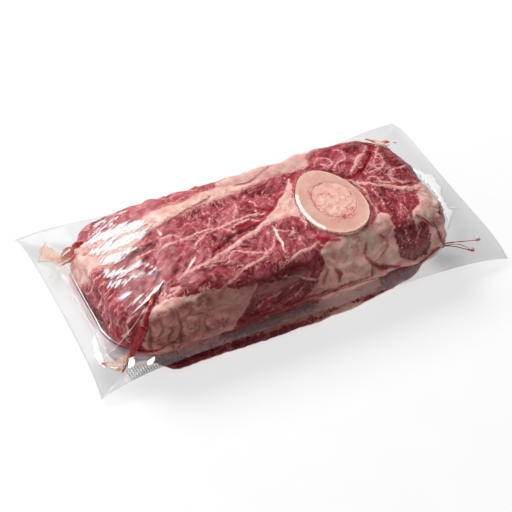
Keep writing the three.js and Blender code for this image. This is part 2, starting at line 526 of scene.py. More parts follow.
@dataclass(frozen=True)
class BlockForm:
    """The meat's rounded block, ring by ring. Places run 0 to 4 round it, from the front left corner."""

    sides: tuple[Side, ...] = (
        Side(-81, 8, 9, 15),
        Side(115, 5, 2, 18),
        Side(43, 4, 8, 21),
        Side(-132, 4, 5, 30),
    )
    radii: tuple[float, ...] = (32, 28, 36, 26)
    radius_loss: float = 0.6
    least_radius: float = 9
    wander: tuple[Triple, ...] = ((3, 0.9, 0.6), (7, 0.7, 2.1), (13, 0.4, 0))
    steady: float = 22
    tucks: Path = ((0, 12, 7, 0.09), (1, -14, 9, 0.19))
    tuck_levels: Pair = (3, 24)
    height: float = 54
    belly: float = 8
    shoulder: float = 37
    seam: float = 13.5
    seam_spread: float = 5
    foot: float = 11
    foot_power: float = 2.3
    crown_power: float = 2.2
    hole: float = 0.985
    mounds: Path = (
        (39, -29, 45, 50, 1.6),
        (-60, -30, 50, 22, 1.2),
        (70, 8, 22, 16, 1.4),
        (-10, -2, 70, 5, -1.3),
        (72, -50, 12, 18, -1.2),
    )
    left_fall: Triple = (5, 60, 112)
    right_fall: Triple = (4, 75, 108)

    def face_height(self, x: Array, y: Array) -> Array:
        """Height of the upper cut face.

        Args:
            x: Places along the block.
            y: Places across it.

        Returns:
            The heights in millimetres.
        """
        fall = 0
        for along, (drop, start, end) in ((-x, self.left_fall), (x, self.right_fall)):
            fall = fall + drop * ramp(along, start, end)
        swell = sum(r * np.exp(-(((x - a) / p) ** 2) - ((y - b) / q) ** 2) for a, b, p, q, r in self.mounds)
        return self.height - fall + swell

    def insets(self, z: float) -> Array:
        """The four sides' insets at a height between the belly and the shoulder.

        Args:
            z: The height in millimetres.

        Returns:
            The insets in millimetres.
        """
        nipped = math.exp(-(((z - self.seam) / self.seam_spread) ** 2))
        leant = ramp(np.float64(z), self.belly, self.shoulder)
        return np.array([s.nip * nipped + s.lean * leant for s in self.sides])

    def outline(self, places: Array, insets: Array) -> Array:
        """Points round the block, its sides moved inwards by their insets.

        Args:
            places: where round the block, 0 to 4.
            insets: one number for each side.

        Returns:
            Rows of x and y.
        """
        places = places % 4
        side = np.floor(places).astype(int)
        share = places - side
        lines = np.array([s.at - math.copysign(inset, s.at) for s, inset in zip(self.sides, insets)])
        corners = np.array([(lines[i - 1 + i % 2], lines[i - i % 2]) for i in range(4)])
        narrow = min(abs(lines[1] - lines[3]), abs(lines[2] - lines[0])) * 0.49
        loss = [self.radius_loss * (insets[i] + insets[i - 1]) / 2 for i in range(4)]
        radii = np.array([min(max(r - less, self.least_radius), narrow) for r, less in zip(self.radii, loss)])
        start, end = corners[side], corners[(side + 1) % 4]
        full = np.linalg.norm(end - start, axis=1)
        along = (end - start) / full[:, None]
        first, last = radii[side], radii[(side + 1) % 4]
        quarter = math.pi / 4
        straight = full - first - last
        gone = share * (first * quarter + straight + last * quarter)
        early, late = gone < first * quarter, gone > first * quarter + straight
        turn = np.where(early, quarter - gone / first, (gone - first * quarter - straight) / last)
        advance = first + gone - first * quarter
        advance = np.where(early, first * (1 - np.sin(turn)), advance)
        advance = np.where(late, full - last * (1 - np.sin(turn)), advance)
        depth = np.where(early, first, np.where(late, last, 0)) * (1 - np.cos(turn))
        stray = sum(size * np.sin(waves * places * math.pi / 2 + begin) for waves, size, begin in self.wander)
        stray = stray * ramp(np.float64(narrow), 0, self.steady)
        inwards = np.stack([-along[:, 1], along[:, 0]], 1)
        return start + along * advance[:, None] + inwards * (depth - stray)[:, None]

    def tucked(self, places: Array, z: float) -> Array:
        """How far the film draws the two lower front corners in, at places round the block and a height.

        Args:
            places: Places round the block.
            z: The height in millimetres.

        Returns:
            The shifts in x and y, in millimetres.
        """
        moved = np.zeros((len(places), 2))
        for corner, x, y, spread in self.tucks:
            away = np.abs((places - corner + 2) % 4 - 2)
            moved += np.exp(-((away / spread) ** 2))[:, None] * np.array([x, y])
        return moved * (1 - ramp(np.float64(z), *self.tuck_levels))

    def loft(
        self, count: int, under: int, foot: int, flank: int, crown: int, face: int
    ) -> tuple[Array, Array]:
        """The block's rings, from the middle of its underside to the middle of its upper face.

        Args:
            count: points to a ring.
            under: rings across the underside.
            foot: rings round the lower edge.
            flank: rings up the sides.
            crown: rings round the upper edge.
            face: rings across the upper face.

        Returns:
            The rings' points, and each ring's level: 0 and less is the foot and underside, up to 1 the
            sides, up to 2 the crown and beyond it the upper face.
        """
        places = np.arange(count) * 4 / count
        rows: list[Array] = []
        levels: list[float] = []
        width = self.sides[2].at - self.sides[0].at

        def put(insets: Array, level: float, height: Callable[[Array, Array], Array]) -> None:
            """Adds a ring of the given insets and level, its height a function of x and y.

            Args:
                insets: The four sides' insets.
                level: The ring's level, counted up the block.
                height: Gives a height for x and y.
            """
            xy = self.outline(places, insets)
            xy += self.tucked(places, float(height(*xy[:1].T)[0])) * min(2 + level, 1)
            rows.append(np.column_stack([xy, height(xy[:, 0], xy[:, 1])]))
            levels.append(level)

        flat = width / 2 - self.foot
        for share in np.linspace(self.hole, 0, under, endpoint=False):
            put(np.full(4, self.foot + flat * share), -1 - share, lambda x, y: 0 * x)
        for turn in np.linspace(1, 0, foot, endpoint=False) * math.pi / 2:
            inset, z = (
                size * (1 - side(turn) ** (2 / self.foot_power))
                for size, side in ((self.foot, math.cos), (self.belly, math.sin))
            )
            put(np.full(4, inset), -math.sin(turn), lambda x, y, z=z: 0 * x + z)
        for z in np.linspace(self.belly, self.shoulder, flank):
            level = (z - self.belly) / (self.shoulder - self.belly)
            put(self.insets(z), level, lambda x, y, z=z: 0 * x + z)
        shoulder = self.insets(self.shoulder)
        over = np.array([s.crown for s in self.sides])
        for turn in np.linspace(0, 1, crown + 1)[1:] * math.pi / 2:
            inset = shoulder + over * (1 - math.cos(turn) ** (2 / self.crown_power))
            up = math.sin(turn) ** (2 / self.crown_power)
            level = 1 + turn / (math.pi / 2)
            put(inset, level, lambda x, y, up=up: mix(self.shoulder, self.face_height(x, y), up))
        rim = shoulder + over
        half = (width - rim[0] - rim[2]) / 2
        for share in np.linspace(0, self.hole, face + 1)[1:]:
            put(rim + half * share, 2 + share, self.face_height)
        return np.array(rows), np.array(levels)


@dataclass(frozen=True)
class Oval:
    """An upright oval shaft, a little narrower towards the back."""

    x: float
    y: float
    across_x: float
    across_y: float
    egg: float

    def ring(self, turns: Array, grow: float | Array = 0, scale: float = 1) -> Array:
        """Points round the oval.

        Args:
            turns: angles in radians, anticlockwise from +X.
            grow: millimetres added outwards.
            scale: factor on the oval's size.

        Returns:
            Rows of x and y.
        """
        taper = 1 - self.egg * np.sin(turns)
        x = self.x + (self.across_x / 2 * scale + grow) * np.cos(turns) * taper
        y = self.y + (self.across_y / 2 * scale + grow) * np.sin(turns)
        return np.stack([x, y], -1)

    def reach(self, x: Array, y: Array) -> tuple[Array, Array]:
        """How far out places are, 1 at the oval's outline, and their angle.

        Args:
            x: Places along the pack.
            y: Places across it.

        Returns:
            The distances out and the angles.
        """
        v = (y - self.y) / (self.across_y / 2)
        u = (x - self.x) / (self.across_x / 2 * (1 - self.egg * v))
        return np.hypot(u, v), np.arctan2(v, u)


FORM = BlockForm()
BONE = Oval(38.5, -29.5, 44, 67, 0.12)
MARROW = Oval(41, -29.5, 28, 37, 0.03)
BONE_RISE = 1.4


# ---- what lies where in the meat


class Tissue(Enum):
    """What a band or area of the meat is made of."""

    FAT = "fat"
    LEAN = "lean"
    BLOOD = "blood"
    VEIL = "veil"
    DARK = "dark"
    GROOVE = "groove"
    BRIGHT = "bright"


@dataclass(frozen=True)
class Muscle:
    """A muscle's cut end: where its middle is, its half length and width, its lie and its shade."""

    x: float
    y: float
    long: float
    wide: float
    lie: float
    shade: float


@dataclass(frozen=True)
class TissueMap:
    """Tissue laid out on one flat view of the meat: bands and areas by tissue, lean cutting away the fat."""

    base: float
    seed: int
    layers: dict[Tissue, tuple[Path, ...]]
    muscles: tuple[Muscle, ...]
    warp: float = 1.1
    fine_warp: float = 0.35

    def read(self, u: Array, v: Array) -> dict[Tissue, Array]:
        """The depth of each tissue at the given places.

        Args:
            u: first coordinates.
            v: second coordinates.

        Returns:
            Signed depths in millimetres, fat's being negative in the lean.
        """
        flat = np.stack([u, v, np.full(len(u), 3.7 * self.seed)], 1)
        u = u + self.warp * cloud(flat, 7, self.seed) + self.fine_warp * cloud(flat, 2.2, self.seed + 1)
        v = v + self.warp * cloud(flat, 7, self.seed + 2) + self.fine_warp * cloud(flat, 2.2, self.seed + 3)
        found = {tissue: np.full(len(u), -9.0) for tissue in Tissue}
        found[Tissue.FAT] += 9 + self.base
        for tissue, paths in self.layers.items():
            for path in paths:
                depth = depth_inside(u, v, path)
                if tissue is Tissue.LEAN:
                    found[Tissue.FAT] = np.minimum(found[Tissue.FAT], -depth)
                else:
                    found[tissue] = np.maximum(found[tissue], depth)
        return found

    def grain(self, u: Array, v: Array) -> tuple[Array, Array]:
        """Places along and across the grain of the nearest muscle, and that muscle's shade.

        Args:
            u: Places along the face.
            v: Places across it.

        Returns:
            The places along and across the grain, and the shade.
        """
        best = np.full(len(u), 1e9)
        laid = np.zeros((len(u), 2))
        shade = np.zeros(len(u))
        for number, muscle in enumerate(self.muscles):
            c, s = math.cos(math.radians(muscle.lie)), math.sin(math.radians(muscle.lie))
            along = (u - muscle.x) * c + (v - muscle.y) * s
            across = (v - muscle.y) * c - (u - muscle.x) * s
            away = np.hypot(along / muscle.long, across / muscle.wide)
            nearer = away < best
            best = np.where(nearer, away, best)
            laid[nearer] = np.stack([along, across], 1)[nearer] + 61.0 * number
            shade[nearer] = muscle.shade
        return laid, shade


CUT_FACE = TissueMap(
    base=-9,
    seed=3,
    layers={
        Tissue.FAT: (
            # the fat along the back, from the left end to behind the bone
            ((-131, -16), (-131, 10), (-118, 13), (-104, 9), (-96, 12), (-86, 11), (-84, 0), (-90, -8),
             (-102, -11), (-114, -17)),
            ((-92, 3, 6), (-84, 4, 6), (-74, 8, 7), (-62, 9.5, 6.5), (-50, 9.5, 5.5), (-38, 12, 6),
             (-26, 13, 5.5), (-14, 12.5, 5), (-2, 13.5, 4), (10, 15, 4)),
            ((-4, 17), (10, 10.5), (22, 12), (34, 9.5), (43, 11), (44, 17), (48, 24), (58, 30), (62, 42),
             (20, 44), (0, 34), (-22, 24), (-20, 18)),
            # fat and gristle against the bone's left flank
            ((24, 5), (14, -8), (3, -17.5), (-5, -23), (-9, -28), (-2, -31), (8, -30.5), (14, -34),
             (16, -24), (19, -10), (25, 0)),
            ((-2, -27, 3.2), (-10, -29, 2.3), (-18, -32.5, 2.2), (-28, -36, 2), (-38, -39.5, 1.9),
             (-48, -44, 1.6), (-58, -47, 1.3), (-70, -47.5, 1), (-82, -50, 0.8)),
            # the thin seam between the first and second muscles
            ((-101, -22, 0.5), (-96, -19, 0.9), (-86, -19, 0.7), (-74, -19.5, 0.9), (-62, -20, 1.1),
             (-50, -18.5, 1), (-38, -19.5, 1), (-26, -18.5, 1.1), (-14, -17, 1), (-6, -20, 1.2)),
            ((-77, -12, 0.7), (-72, -12, 0.9), (-68, -15, 0.9), (-65, -19, 0.8)),
            ((-46, -19, 0.6), (-44, -14, 0.8), (-41, -9, 0.6), (-36, -6, 0.4)),
            ((-27, -18, 0.5), (-24, -11, 0.8), (-20, -6, 0.8), (-19, 0, 0.6)),
            ((-10, -16, 0.6), (-7, -9, 0.9), (-9, -4, 0.7)),
            ((-31, -25, 0.5), (-28, -22.2, 0.9), (-20, -21, 0.9), (-15, -22, 0.8), (-12, -25, 0.5)),
            ((-60, -36, 0.5), (-61, -30, 0.9), (-55, -26, 0.8), (-48, -21, 0.7), (-40, -21, 0.5)),
            ((-38, -22, 0.4), (-33, -27, 0.7), (-31, -31, 0.6)),
            # the wedge in the third muscle
            ((-47, -52, 0.4), (-43, -46.5, 0.9), (-39, -44.5, 1), (-33, -48, 0.9), (-27, -51, 1),
             (-21, -54, 1.2), (-26, -58, 1.1), (-34, -60, 0.9), (-43, -62.5, 0.9), (-51, -65.5, 0.8),
             (-57, -67.5, 0.5)),
            ((-20, -54, 0.8), (-14, -50, 0.6), (-11, -44, 0.5)),
            ((-10, -66, 1.2), (-2, -63, 1.3), (8, -62, 1), (16, -59, 0.6)),
            ((-14, -38, 0.5), (-5, -40, 0.8), (2, -44, 0.6), (5, -50, 0.6), (2, -56, 0.4)),
            ((-90, -56, 0.8), (-84, -58, 1.6), (-91, -61, 1.3), (-97, -60, 0.6)),
            # the muscles right of the bone, and their network
            ((60, -16, 1.2), (66, -20.5, 1.7), (72, -25, 1.6), (78, -28.5, 1.5), (86, -32, 1.8),
             (93, -35.5, 2.2), (99, -36, 2.4), (105, -33, 2), (111, -26, 1.4), (116, -18, 1)),
            ((62, -18, 0.9), (64.5, -27, 0.9), (63, -38, 1.1), (62, -50, 0.8)),
            ((73, -13, 0.7), (80, -12, 0.8), (87, -10.5, 0.8), (92, -6, 0.9), (91.5, -1, 0.8),
             (87, 1.5, 0.7), (82.5, -1, 0.7), (82, -6, 0.6), (86, -10, 0.6)),
            ((71, -19, 0.7), (76, -17, 0.8), (79.5, -20, 0.9), (80, -25, 1), (87, -26, 1), (88.5, -20, 1),
             (93, -15, 0.8), (100, -12.5, 0.7), (108, -9, 0.6)),
            ((92, -6, 0.6), (94, 0, 0.8), (93, 6, 0.9), (88, 12, 0.8)),
            ((93, -15, 0.5), (90, -22, 0.6), (93, -30, 0.7)),
            ((109, -30), (103, -37), (97, -43), (94, -52), (85, -59), (82, -66), (92, -74), (108, -72),
             (119, -52), (117, -34)),
            ((91, 16, 0.8), (85, 10, 1.3), (78, 4, 1.7), (71.5, -2, 1.4), (66, -7, 0.8)),
            ((104, 22, 0.6), (96, 11, 0.9), (90, 2, 0.8), (83, -5.5, 0.6)),
            ((50, 8, 0.5), (54, 4, 0.8), (58, 6, 0.9), (57, 12, 0.8), (52, 14, 0.7), (47, 12, 0.5)),
            ((56, 0, 0.6), (62, 5, 0.8), (68, 6, 0.7), (69, 14, 0.8), (66, 20, 0.5)),
            ((70, -30, 0.4), (71, -40, 0.5), (69, -50, 0.4)),
            # the meat's front edge
            ((-112, -63, 2.5), (-100, -65, 3.5), (-88, -68, 4.5), (-72, -71, 4.5), (-60, -73, 4),
             (-50, -75, 3)),
            ((20, -61), (27, -61.5), (40, -62.6), (54, -59.4), (63, -52), (68, -55), (68, -62), (62, -80),
             (12, -80), (9, -70)),
        ),
        Tissue.BRIGHT: (
            ((-72.5, -46, 0.1), (-70, -43, 0.8), (-66, -40.4, 0.5), (-63, -37, 0.1)),
            ((-75, -9, 0.3), (-74.6, -6, 0.9), (-75, -3.5, 0.4)),
            ((-7.6, -34, 0.0), (-7, -38, 0.5), (-7.8, -44, 0.9), (-8.2, -51, 0.7), (-9.8, -56, 0.4),
             (-10.4, -60, 0.0)),
        ),
        Tissue.BLOOD: (
            ((101, 24, 1.9), (92, 12, 1.9), (86, 4, 1.6), (79, -4, 1.4), (72, -9.5, 1.6), (66, -12, 2.2),
             (61, -12, 1.6)),
            ((13, -55, 0.6), (19, -60, 1.5), (27, -63.2, 0.8)),
            ((23, 8, 0.8), (26, 4.5, 1.6), (24.5, 1, 1.2)),
            ((-64, 2.5, 0.2), (-56, 4.5, 0.5), (-48, 6.5, 0.5), (-38, 9, 0.6), (-31, 12, 0.4)),
            ((-12, 15.5, 0.6), (-4, 14, 1), (4, 16, 1.2), (12, 20, 0.9), (20, 25, 0.8), (24, 33, 0.8)),
            ((12, -56, 0.5), (17, -61, 0.8)),
            ((-30, -27.5, 0.6), (-22, -25, 2.2), (-14, -27, 0.8)),
            ((-18, 0, 0.3), (-4, -17, 1.2), (5, -14, 1.2), (14, -7, 0.8)),
        ),
        Tissue.VEIL: (
            ((-22, 18), (0, 31), (30, 44), (62, 42), (58, 28), (46, 18), (40, 10), (22, 12), (8, 12),
             (-6, 16)),
        ),
        Tissue.DARK: (
            ((-102, -19, 1), (-96, -15, 1.8), (-88, -14.5, 2), (-80, -14, 1)),
            ((-52, -40, 0.4), (-43, -35, 1.1), (-34, -31, 1.4), (-26, -30, 1.1), (-17, -30, 0.8)),
            ((-12, 4.5, 0.2), (0, 6, 0.6), (10, 7, 0.5)),
            ((58, -9, 1), (63, -12, 2.2), (70, -11, 1), (78, -6, 0.6)),
            ((-90, -38, 0.8), (-93, -43, 1.2), (-96, -47, 0.8)),
        ),
        Tissue.GROOVE: (
            ((102, 26, 0.2), (92, 11, 0.2), (80, -4, 0.1), (70, -10, 0.6), (62, -12, 1.2)),
            ((-52, -40, 0.2), (-40, -33.5, 0.4), (-28, -30, 0.5), (-15, -29, 0.3)),
        ),
    },
    muscles=(
        Muscle(-60, 26, 60, 8, 4, 0.62), Muscle(-35, -8, 55, 11, 62, 0.4), Muscle(5, 0, 22, 10, 30, 0.42),
        Muscle(-62, -30, 34, 12, 32, 0.46), Muscle(-22, -25, 12, 6, 15, 0.3),
        Muscle(-62, -56, 45, 10, 16, 0.3), Muscle(-12, -50, 18, 14, 64, 0.38),
        Muscle(6, -48, 10, 18, 80, 0.34), Muscle(60, 6, 18, 16, 40, 0.5), Muscle(92, -12, 22, 20, 18, 0.45),
        Muscle(76, -45, 18, 18, 68, 0.42), Muscle(105, -20, 10, 16, 60, 0.5),
    ),
)

FRONT_FLANK = TissueMap(
    base=3,
    seed=11,
    layers={
        Tissue.LEAN: (
            ((-54, 22), (-45, 30), (-40, 39), (-34, 48), (-22, 60), (6, 60), (13, 49), (11, 39), (6, 31),
             (-4, 25), (-28, 22), (-54, 18)),
            ((-56, 51), (-46, 47), (-36, 47), (-28, 50), (-20, 62), (-60, 62)),
            ((62, 60), (66, 48), (68, 38), (71, 28), (80, 24), (90, 26), (93, 34), (91, 46), (87, 60)),
            ((-140, 14), (-140, 56), (-116, 56), (-117, 42), (-118, 30), (-115, 20)),
            ((-60, 14), (-44, 20), (-14, 23), (4, 21), (6, 12), (-60, 10)),
            ((56, 12), (60, 20), (84, 19), (112, 22), (112, 10), (60, 9)),
            ((-130, -1), (-130, 9.5), (-60, 9), (0, 8), (60, 9), (112, 9.5), (112, -1)),
        ),
        Tissue.FAT: (
            ((-104, 3, 2), (-80, 2, 3), (-62, 4, 2)),
            ((-14, 2, 1.4), (6, 3, 3), (30, 4, 4), (44, 3, 2)),
            ((-36, 30, 0.5), (-26, 34, 0.7), (-14, 35.5, 0.7), (-4, 38, 0.4)),
            ((-20, 47, 0.4), (-8, 43, 0.8), (2, 37, 0.9), (9, 33, 0.7)),
            ((-30, 25, 0.6), (-16, 27, 0.5), (-6, 31, 0.5), (2, 42, 0.4), (5, 54, 0.4)),
            ((76, 52, 0.4), (75, 44, 0.6), (78, 36, 0.4)),
            ((83, 54, 0.4), (84, 45, 0.7), (82, 38, 0.5), (84, 31, 0.4)),
            ((70, 46, 0.3), (72, 40, 0.5), (72, 34, 0.3)),
        ),
        Tissue.VEIL: (
            ((-66, 44, 5), (-54, 37, 8), (-45, 42, 5), (-38, 47, 2)),
            ((-34, 42, 3), (-18, 40, 3), (-2, 44, 2.5)),
            ((74, 30, 2), (82, 28, 2.5), (90, 32, 2)),
        ),
        Tissue.BLOOD: (
            ((-52, 24, 0.6), (-30, 23.5, 0.7), (-4, 24, 0.8), (20, 24, 0.8), (44, 23.5, 0.6)),
            ((20, 38, 0.8), (24, 33, 1.8), (22, 28, 1)),
            ((46, 50, 0.7), (42, 42, 0.6), (47, 34, 1.1), (52, 28, 1.4), (60, 25, 1.2), (68, 22, 1)),
            ((-116, 50, 2.2), (-118, 40, 2.8), (-120, 28, 2.6), (-117, 20, 1.6)),
            ((96, 48, 0.7), (98, 40, 0.8), (103, 30, 1), (106, 20, 0.8)),
        ),
        Tissue.DARK: (
            ((-112, 44, 0.6), (-110, 34, 1), (-112, 25, 0.8)),
            ((-104, 45, 0.3), (-102, 38, 0.9), (-106, 31, 0.6)),
            ((-100, 39, 0.3), (-96, 33, 1), (-100, 28, 0.6), (-97, 21, 0.8)),
            ((-89, 24, 0.3), (-83, 18.5, 1.1), (-76, 17, 0.5)),
            ((-84, 41, 0.3), (-74, 38.5, 0.7), (-62, 41, 0.3)),
            ((-91, 44, 0.4), (-90, 33, 0.9), (-92, 22, 0.8)),
            ((-108, 27, 0.4), (-98, 25.5, 1.1), (-88, 27, 0.5)),
            ((-72, 36, 0.3), (-74, 28, 0.8), (-66, 23, 0.6)),
            ((55, 52, 0.8), (60, 44, 0.6), (58, 36, 0.9), (50, 30, 0.7), (47, 24, 0.9)),
            ((11, 46, 0.6), (15, 38, 0.7), (11, 30, 0.5)),
        ),
        Tissue.GROOVE: (
            ((-112, 50, 0.5), (-110, 34, 0.9), (-112, 22, 0.6)),
            ((-91, 48, 0.4), (-90, 33, 0.9), (-92, 20, 0.6)),
            ((-76, 50, 0.3), (-74, 30, 0.7), (-66, 20, 0.6)),
            ((12, 54, 0.4), (12, 40, 0.7), (4, 28, 0.6)),
            ((56, 54, 0.5), (58, 38, 0.8), (48, 24, 0.7)),
            ((34, 46, 0.4), (36, 36, 0.8), (30, 24, 0.5)),
        ),
    },
    muscles=(
        Muscle(-20, 38, 36, 14, 28, 0.1), Muscle(78, 40, 20, 14, 78, 0.04), Muscle(-20, 8, 110, 12, 8, 0.0),
        Muscle(-128, 30, 30, 12, 76, 0.3), Muscle(100, 14, 30, 8, 12, 0.12),
    ),
)

LEFT_END = TissueMap(
    base=-9,
    seed=23,
    layers={
        Tissue.FAT: (
            ((44, 4), (44, 60), (-4, 60), (-11, 46), (-10, 34), (-3, 25), (4, 16), (16, 8)),
            ((-25, 46, 0.5), (-23.5, 38, 0.8), (-27, 31, 0.9), (-24, 24, 0.9), (-20, 17, 0.6)),
            ((-32, 44, 0.4), (-34, 32, 0.6), (-31, 22, 0.5)),
            ((-42, 44, 0.3), (-44, 34, 0.5), (-46, 24, 0.4)),
            ((-17, 44, 0.4), (-15, 34, 0.6), (-12, 26, 0.7), (-4, 20, 0.6)),
            ((-60, 46, 0.4), (-62, 34, 0.9), (-58, 24, 0.8), (-60, 12, 0.6)),
        ),
        Tissue.BLOOD: (
            ((-54, 31, 1.4), (-56, 27, 1.8), (-60, 26, 1)),
            ((41, 30, 2), (37, 24, 3), (33, 20, 1.5)),
            ((-64, 50, 2.4), (-66, 40, 2.8), (-68, 28, 2.4), (-68, 18, 1.5)),
        ),
        Tissue.LEAN: (
            ((13, 47), (22, 41), (33, 35), (50, 30), (56, 62), (8, 62)),
        ),
        Tissue.DARK: (
            ((-12, 20, 0.6), (-26, 14, 1.2), (-44, 13, 1)),
            ((28, 28, 0.3), (27, 20, 0.6), (20, 17, 0.5)),
        ),
        Tissue.GROOVE: (
            ((-12, 46, 0.5), (-10, 34, 0.9), (-2, 24, 0.7)),
            ((-25, 48, 0.3), (-25, 34, 0.7), (-20, 16, 0.5)),
        ),
    },
    muscles=(
        Muscle(-20, 32, 26, 10, 74, 0.4), Muscle(-46, 32, 26, 14, 76, 0.28), Muscle(-20, 8, 60, 8, 6, 0.3),
    ),
)

@dataclass
class Beef:
    """The meat: its block, the relief of its muscles and fat, and what lies where on it."""

    count: int = 700
    under: int = 14
    foot: int = 7
    flank: int = 26
    crown: int = 31
    face: int = 56
    rings: Array = field(init=False)
    levels: Array = field(init=False)
    normals: Array = field(init=False)
    lift: Array = field(init=False)
    tissue: dict[Tissue, Array] = field(init=False)
    grain: Array = field(init=False)
    shade: Array = field(init=False)
    aged: Array = field(init=False)
    crease: Array = field(init=False)
    pit: Array = field(init=False)

    @property
    def points(self) -> Array:
        """The rings' points, one row each."""
        return self.rings.reshape(-1, 3)

    @property
    def level(self) -> Array:
        """The level of each point."""
        return np.repeat(self.levels, self.count)

    def shape(self) -> None:
        """Works out the rings, their tissue and their relief."""
        rows = (self.under, self.foot, self.flank, self.crown, self.face)
        self.rings, self.levels = FORM.loft(self.count, *rows)
        on_face = ramp(self.levels, 1.6, 1.9)[:, None, None]
        self.normals = mix(ring_normals(self.rings), np.array([0, 0, 1.0]), on_face)
        self.read_tissue()
        self.lift = self.relief()

    def views(self) -> list[tuple[TissueMap, Array, Array, Array]]:
        """Lays the tissue maps on the meat.

        Returns:
            Each map with its two coordinates and its share at each point.
        """
        x, y, z = self.points.T
        places = np.tile(np.arange(self.count) * 4 / self.count, len(self.levels))
        wobble = cloud(self.points, 9, 41)
        top = ramp(self.level + 0.12 * wobble, 1.42, 1.56)
        bottom = ramp(-self.level + 0.12 * wobble, 0.45, 0.6)
        side = (places + 0.03 * wobble) % 4
        middle = 1 - top - bottom
        views = [(CUT_FACE, x, y, top), (CUT_FACE, x - 2.0, y + 1.5, bottom)]
        edge = 0.02
        flanks = ((FRONT_FLANK, x), (LEFT_END, -38 - y), (FRONT_FLANK, -18 - x), (LEFT_END, y))
        for number, (tissue, u) in enumerate(flanks):
            away = np.abs((side - number - 0.5 + 2) % 4 - 2)
            views.append((tissue, u, z, middle * ramp(-away, -0.5 - edge, -0.5 + edge)))
        return views

    def read_tissue(self) -> None:
        """Reads every map where it shows and keeps the shares' sum."""
        x, y, _ = self.points.T
        self.tissue = {tissue: np.zeros(len(x)) for tissue in Tissue}
        self.grain = np.zeros((len(x), 3))
        self.shade, self.aged, weight, most = np.zeros((4, len(x)))
        for tissue_map, u, v, share in self.views():
            here = share > 1e-3
            found = tissue_map.read(u[here], v[here])
            laid, shade = tissue_map.grain(u[here], v[here])
            for tissue, depth in found.items():
                self.tissue[tissue][here] += np.clip(depth, -4, 6) * share[here]
            self.shade[here] += shade * share[here]
            # painted shade: the flanks, front and back, are marked for a darker tint
            self.aged += share * (tissue_map is FRONT_FLANK)
            weight += share
            first = share[here] > most[here]
            self.grain[np.flatnonzero(here)[first], :2] = laid[first]
            most = np.maximum(most, share)
        for values in (*self.tissue.values(), self.shade):
            values /= np.maximum(weight, 1e-6)
        # painted shade: the flank tint fades out towards the right
        self.aged *= mix(1, 0.15, ramp(x, -6, 30))
        # painted shade: the lean is made darker towards the right, where the lamp lights the cut face more
        self.shade -= 0.2 * ramp(x, 35, 80)
        # painted shade: the back right of the meat is tinted darker too, where the lamp lights it more
        self.aged = np.maximum(self.aged, 0.34 * ramp(x, 20, 80) * ramp(y, -5, 25))
        self.tissue[Tissue.FAT] += 0.6 * cloud(self.points, 4.2, 91) - 0.2
        self.grain[:, 2] = self.points @ np.array([0.2, 0.2, 0.6])

    def relief(self) -> Array:
        """Works out the lumps of the fat and the strands of the lean.

        Returns:
            How far each point stands out of the block, ring by ring.
        """
        points, level = self.points, self.level
        fat = ramp(self.tissue[Tissue.FAT], -0.6, 1.6)
        on_top = ramp(level, 1.6, 1.9)
        upright = ramp(level, 0.1, 0.4) * (1 - ramp(level, 1.5, 1.9))
        lumps = 1.1 * cloud(points, 17, 5, 2) + 0.55 * cloud(points, 6.5, 6, 2)
        lobe = np.abs(cloud(points, 12, 7, 2))
        lobes = 2.2 * (lobe**0.7 - 0.4) * upright * fat
        # painted shade: the creases between the fat's lobes on the flanks, to be darkened
        self.crease = (1 - ramp(lobe, 0.01, 0.11)) * upright * fat
        laid = np.column_stack([self.grain[:, 0] / 3, self.grain[:, 1], points[:, 2]])
        strands = 0.6 * cloud(laid, 3.2, 8, 2)
        rise = lumps + lobes + 0.5 * fat + strands * (1 - fat)
        groove, dark = self.tissue[Tissue.GROOVE], self.tissue[Tissue.DARK]
        rise -= 0.9 * ramp(groove, -1.8, 1.0) + 0.3 * ramp(dark, -1.2, 0.8)
        rise *= 1 - ramp(-level, 0.7, 1.05)
        out, angle = BONE.reach(points[:, 0], points[:, 1])
        inside = ramp(-out, -1.0, -0.93) * (on_top + ramp(-level, 0.9, 1.0))
        near = ramp(-out, -1.2, -1.02) * on_top
        bared = ramp(np.cos(angle - math.radians(200)), 0.35, 0.85)
        rise = mix(rise, mix(1.25, 0.3, bared) + 0.25 * cloud(points, 3, 9, 2), near)
        self.pit = 4.0 * inside
        return rise.reshape(self.rings.shape[:2])

    def build(self) -> Object:
        """Makes the meat's mesh with its stored tissue.

        Returns:
            The meat.
        """
        stand = self.lift - self.pit.reshape(self.lift.shape)
        points = self.rings + self.normals * stand[..., None]
        points[..., 2] = np.maximum(points[..., 2], 0)
        piece = mesh_object("beef_meat", points.reshape(-1, 3), loft_faces(*self.lift.shape))
        shown = (Tissue.FAT, Tissue.BLOOD, Tissue.VEIL, Tissue.DARK, Tissue.BRIGHT)
        set_values(piece, **{tissue.value: self.tissue[tissue] for tissue in shown})
        set_values(piece, shade=self.shade, aged=self.aged, crease=self.crease, grain=self.grain)
        return settle(piece, MeatFinish().material(), "beef", "beef")


# ---- finishes


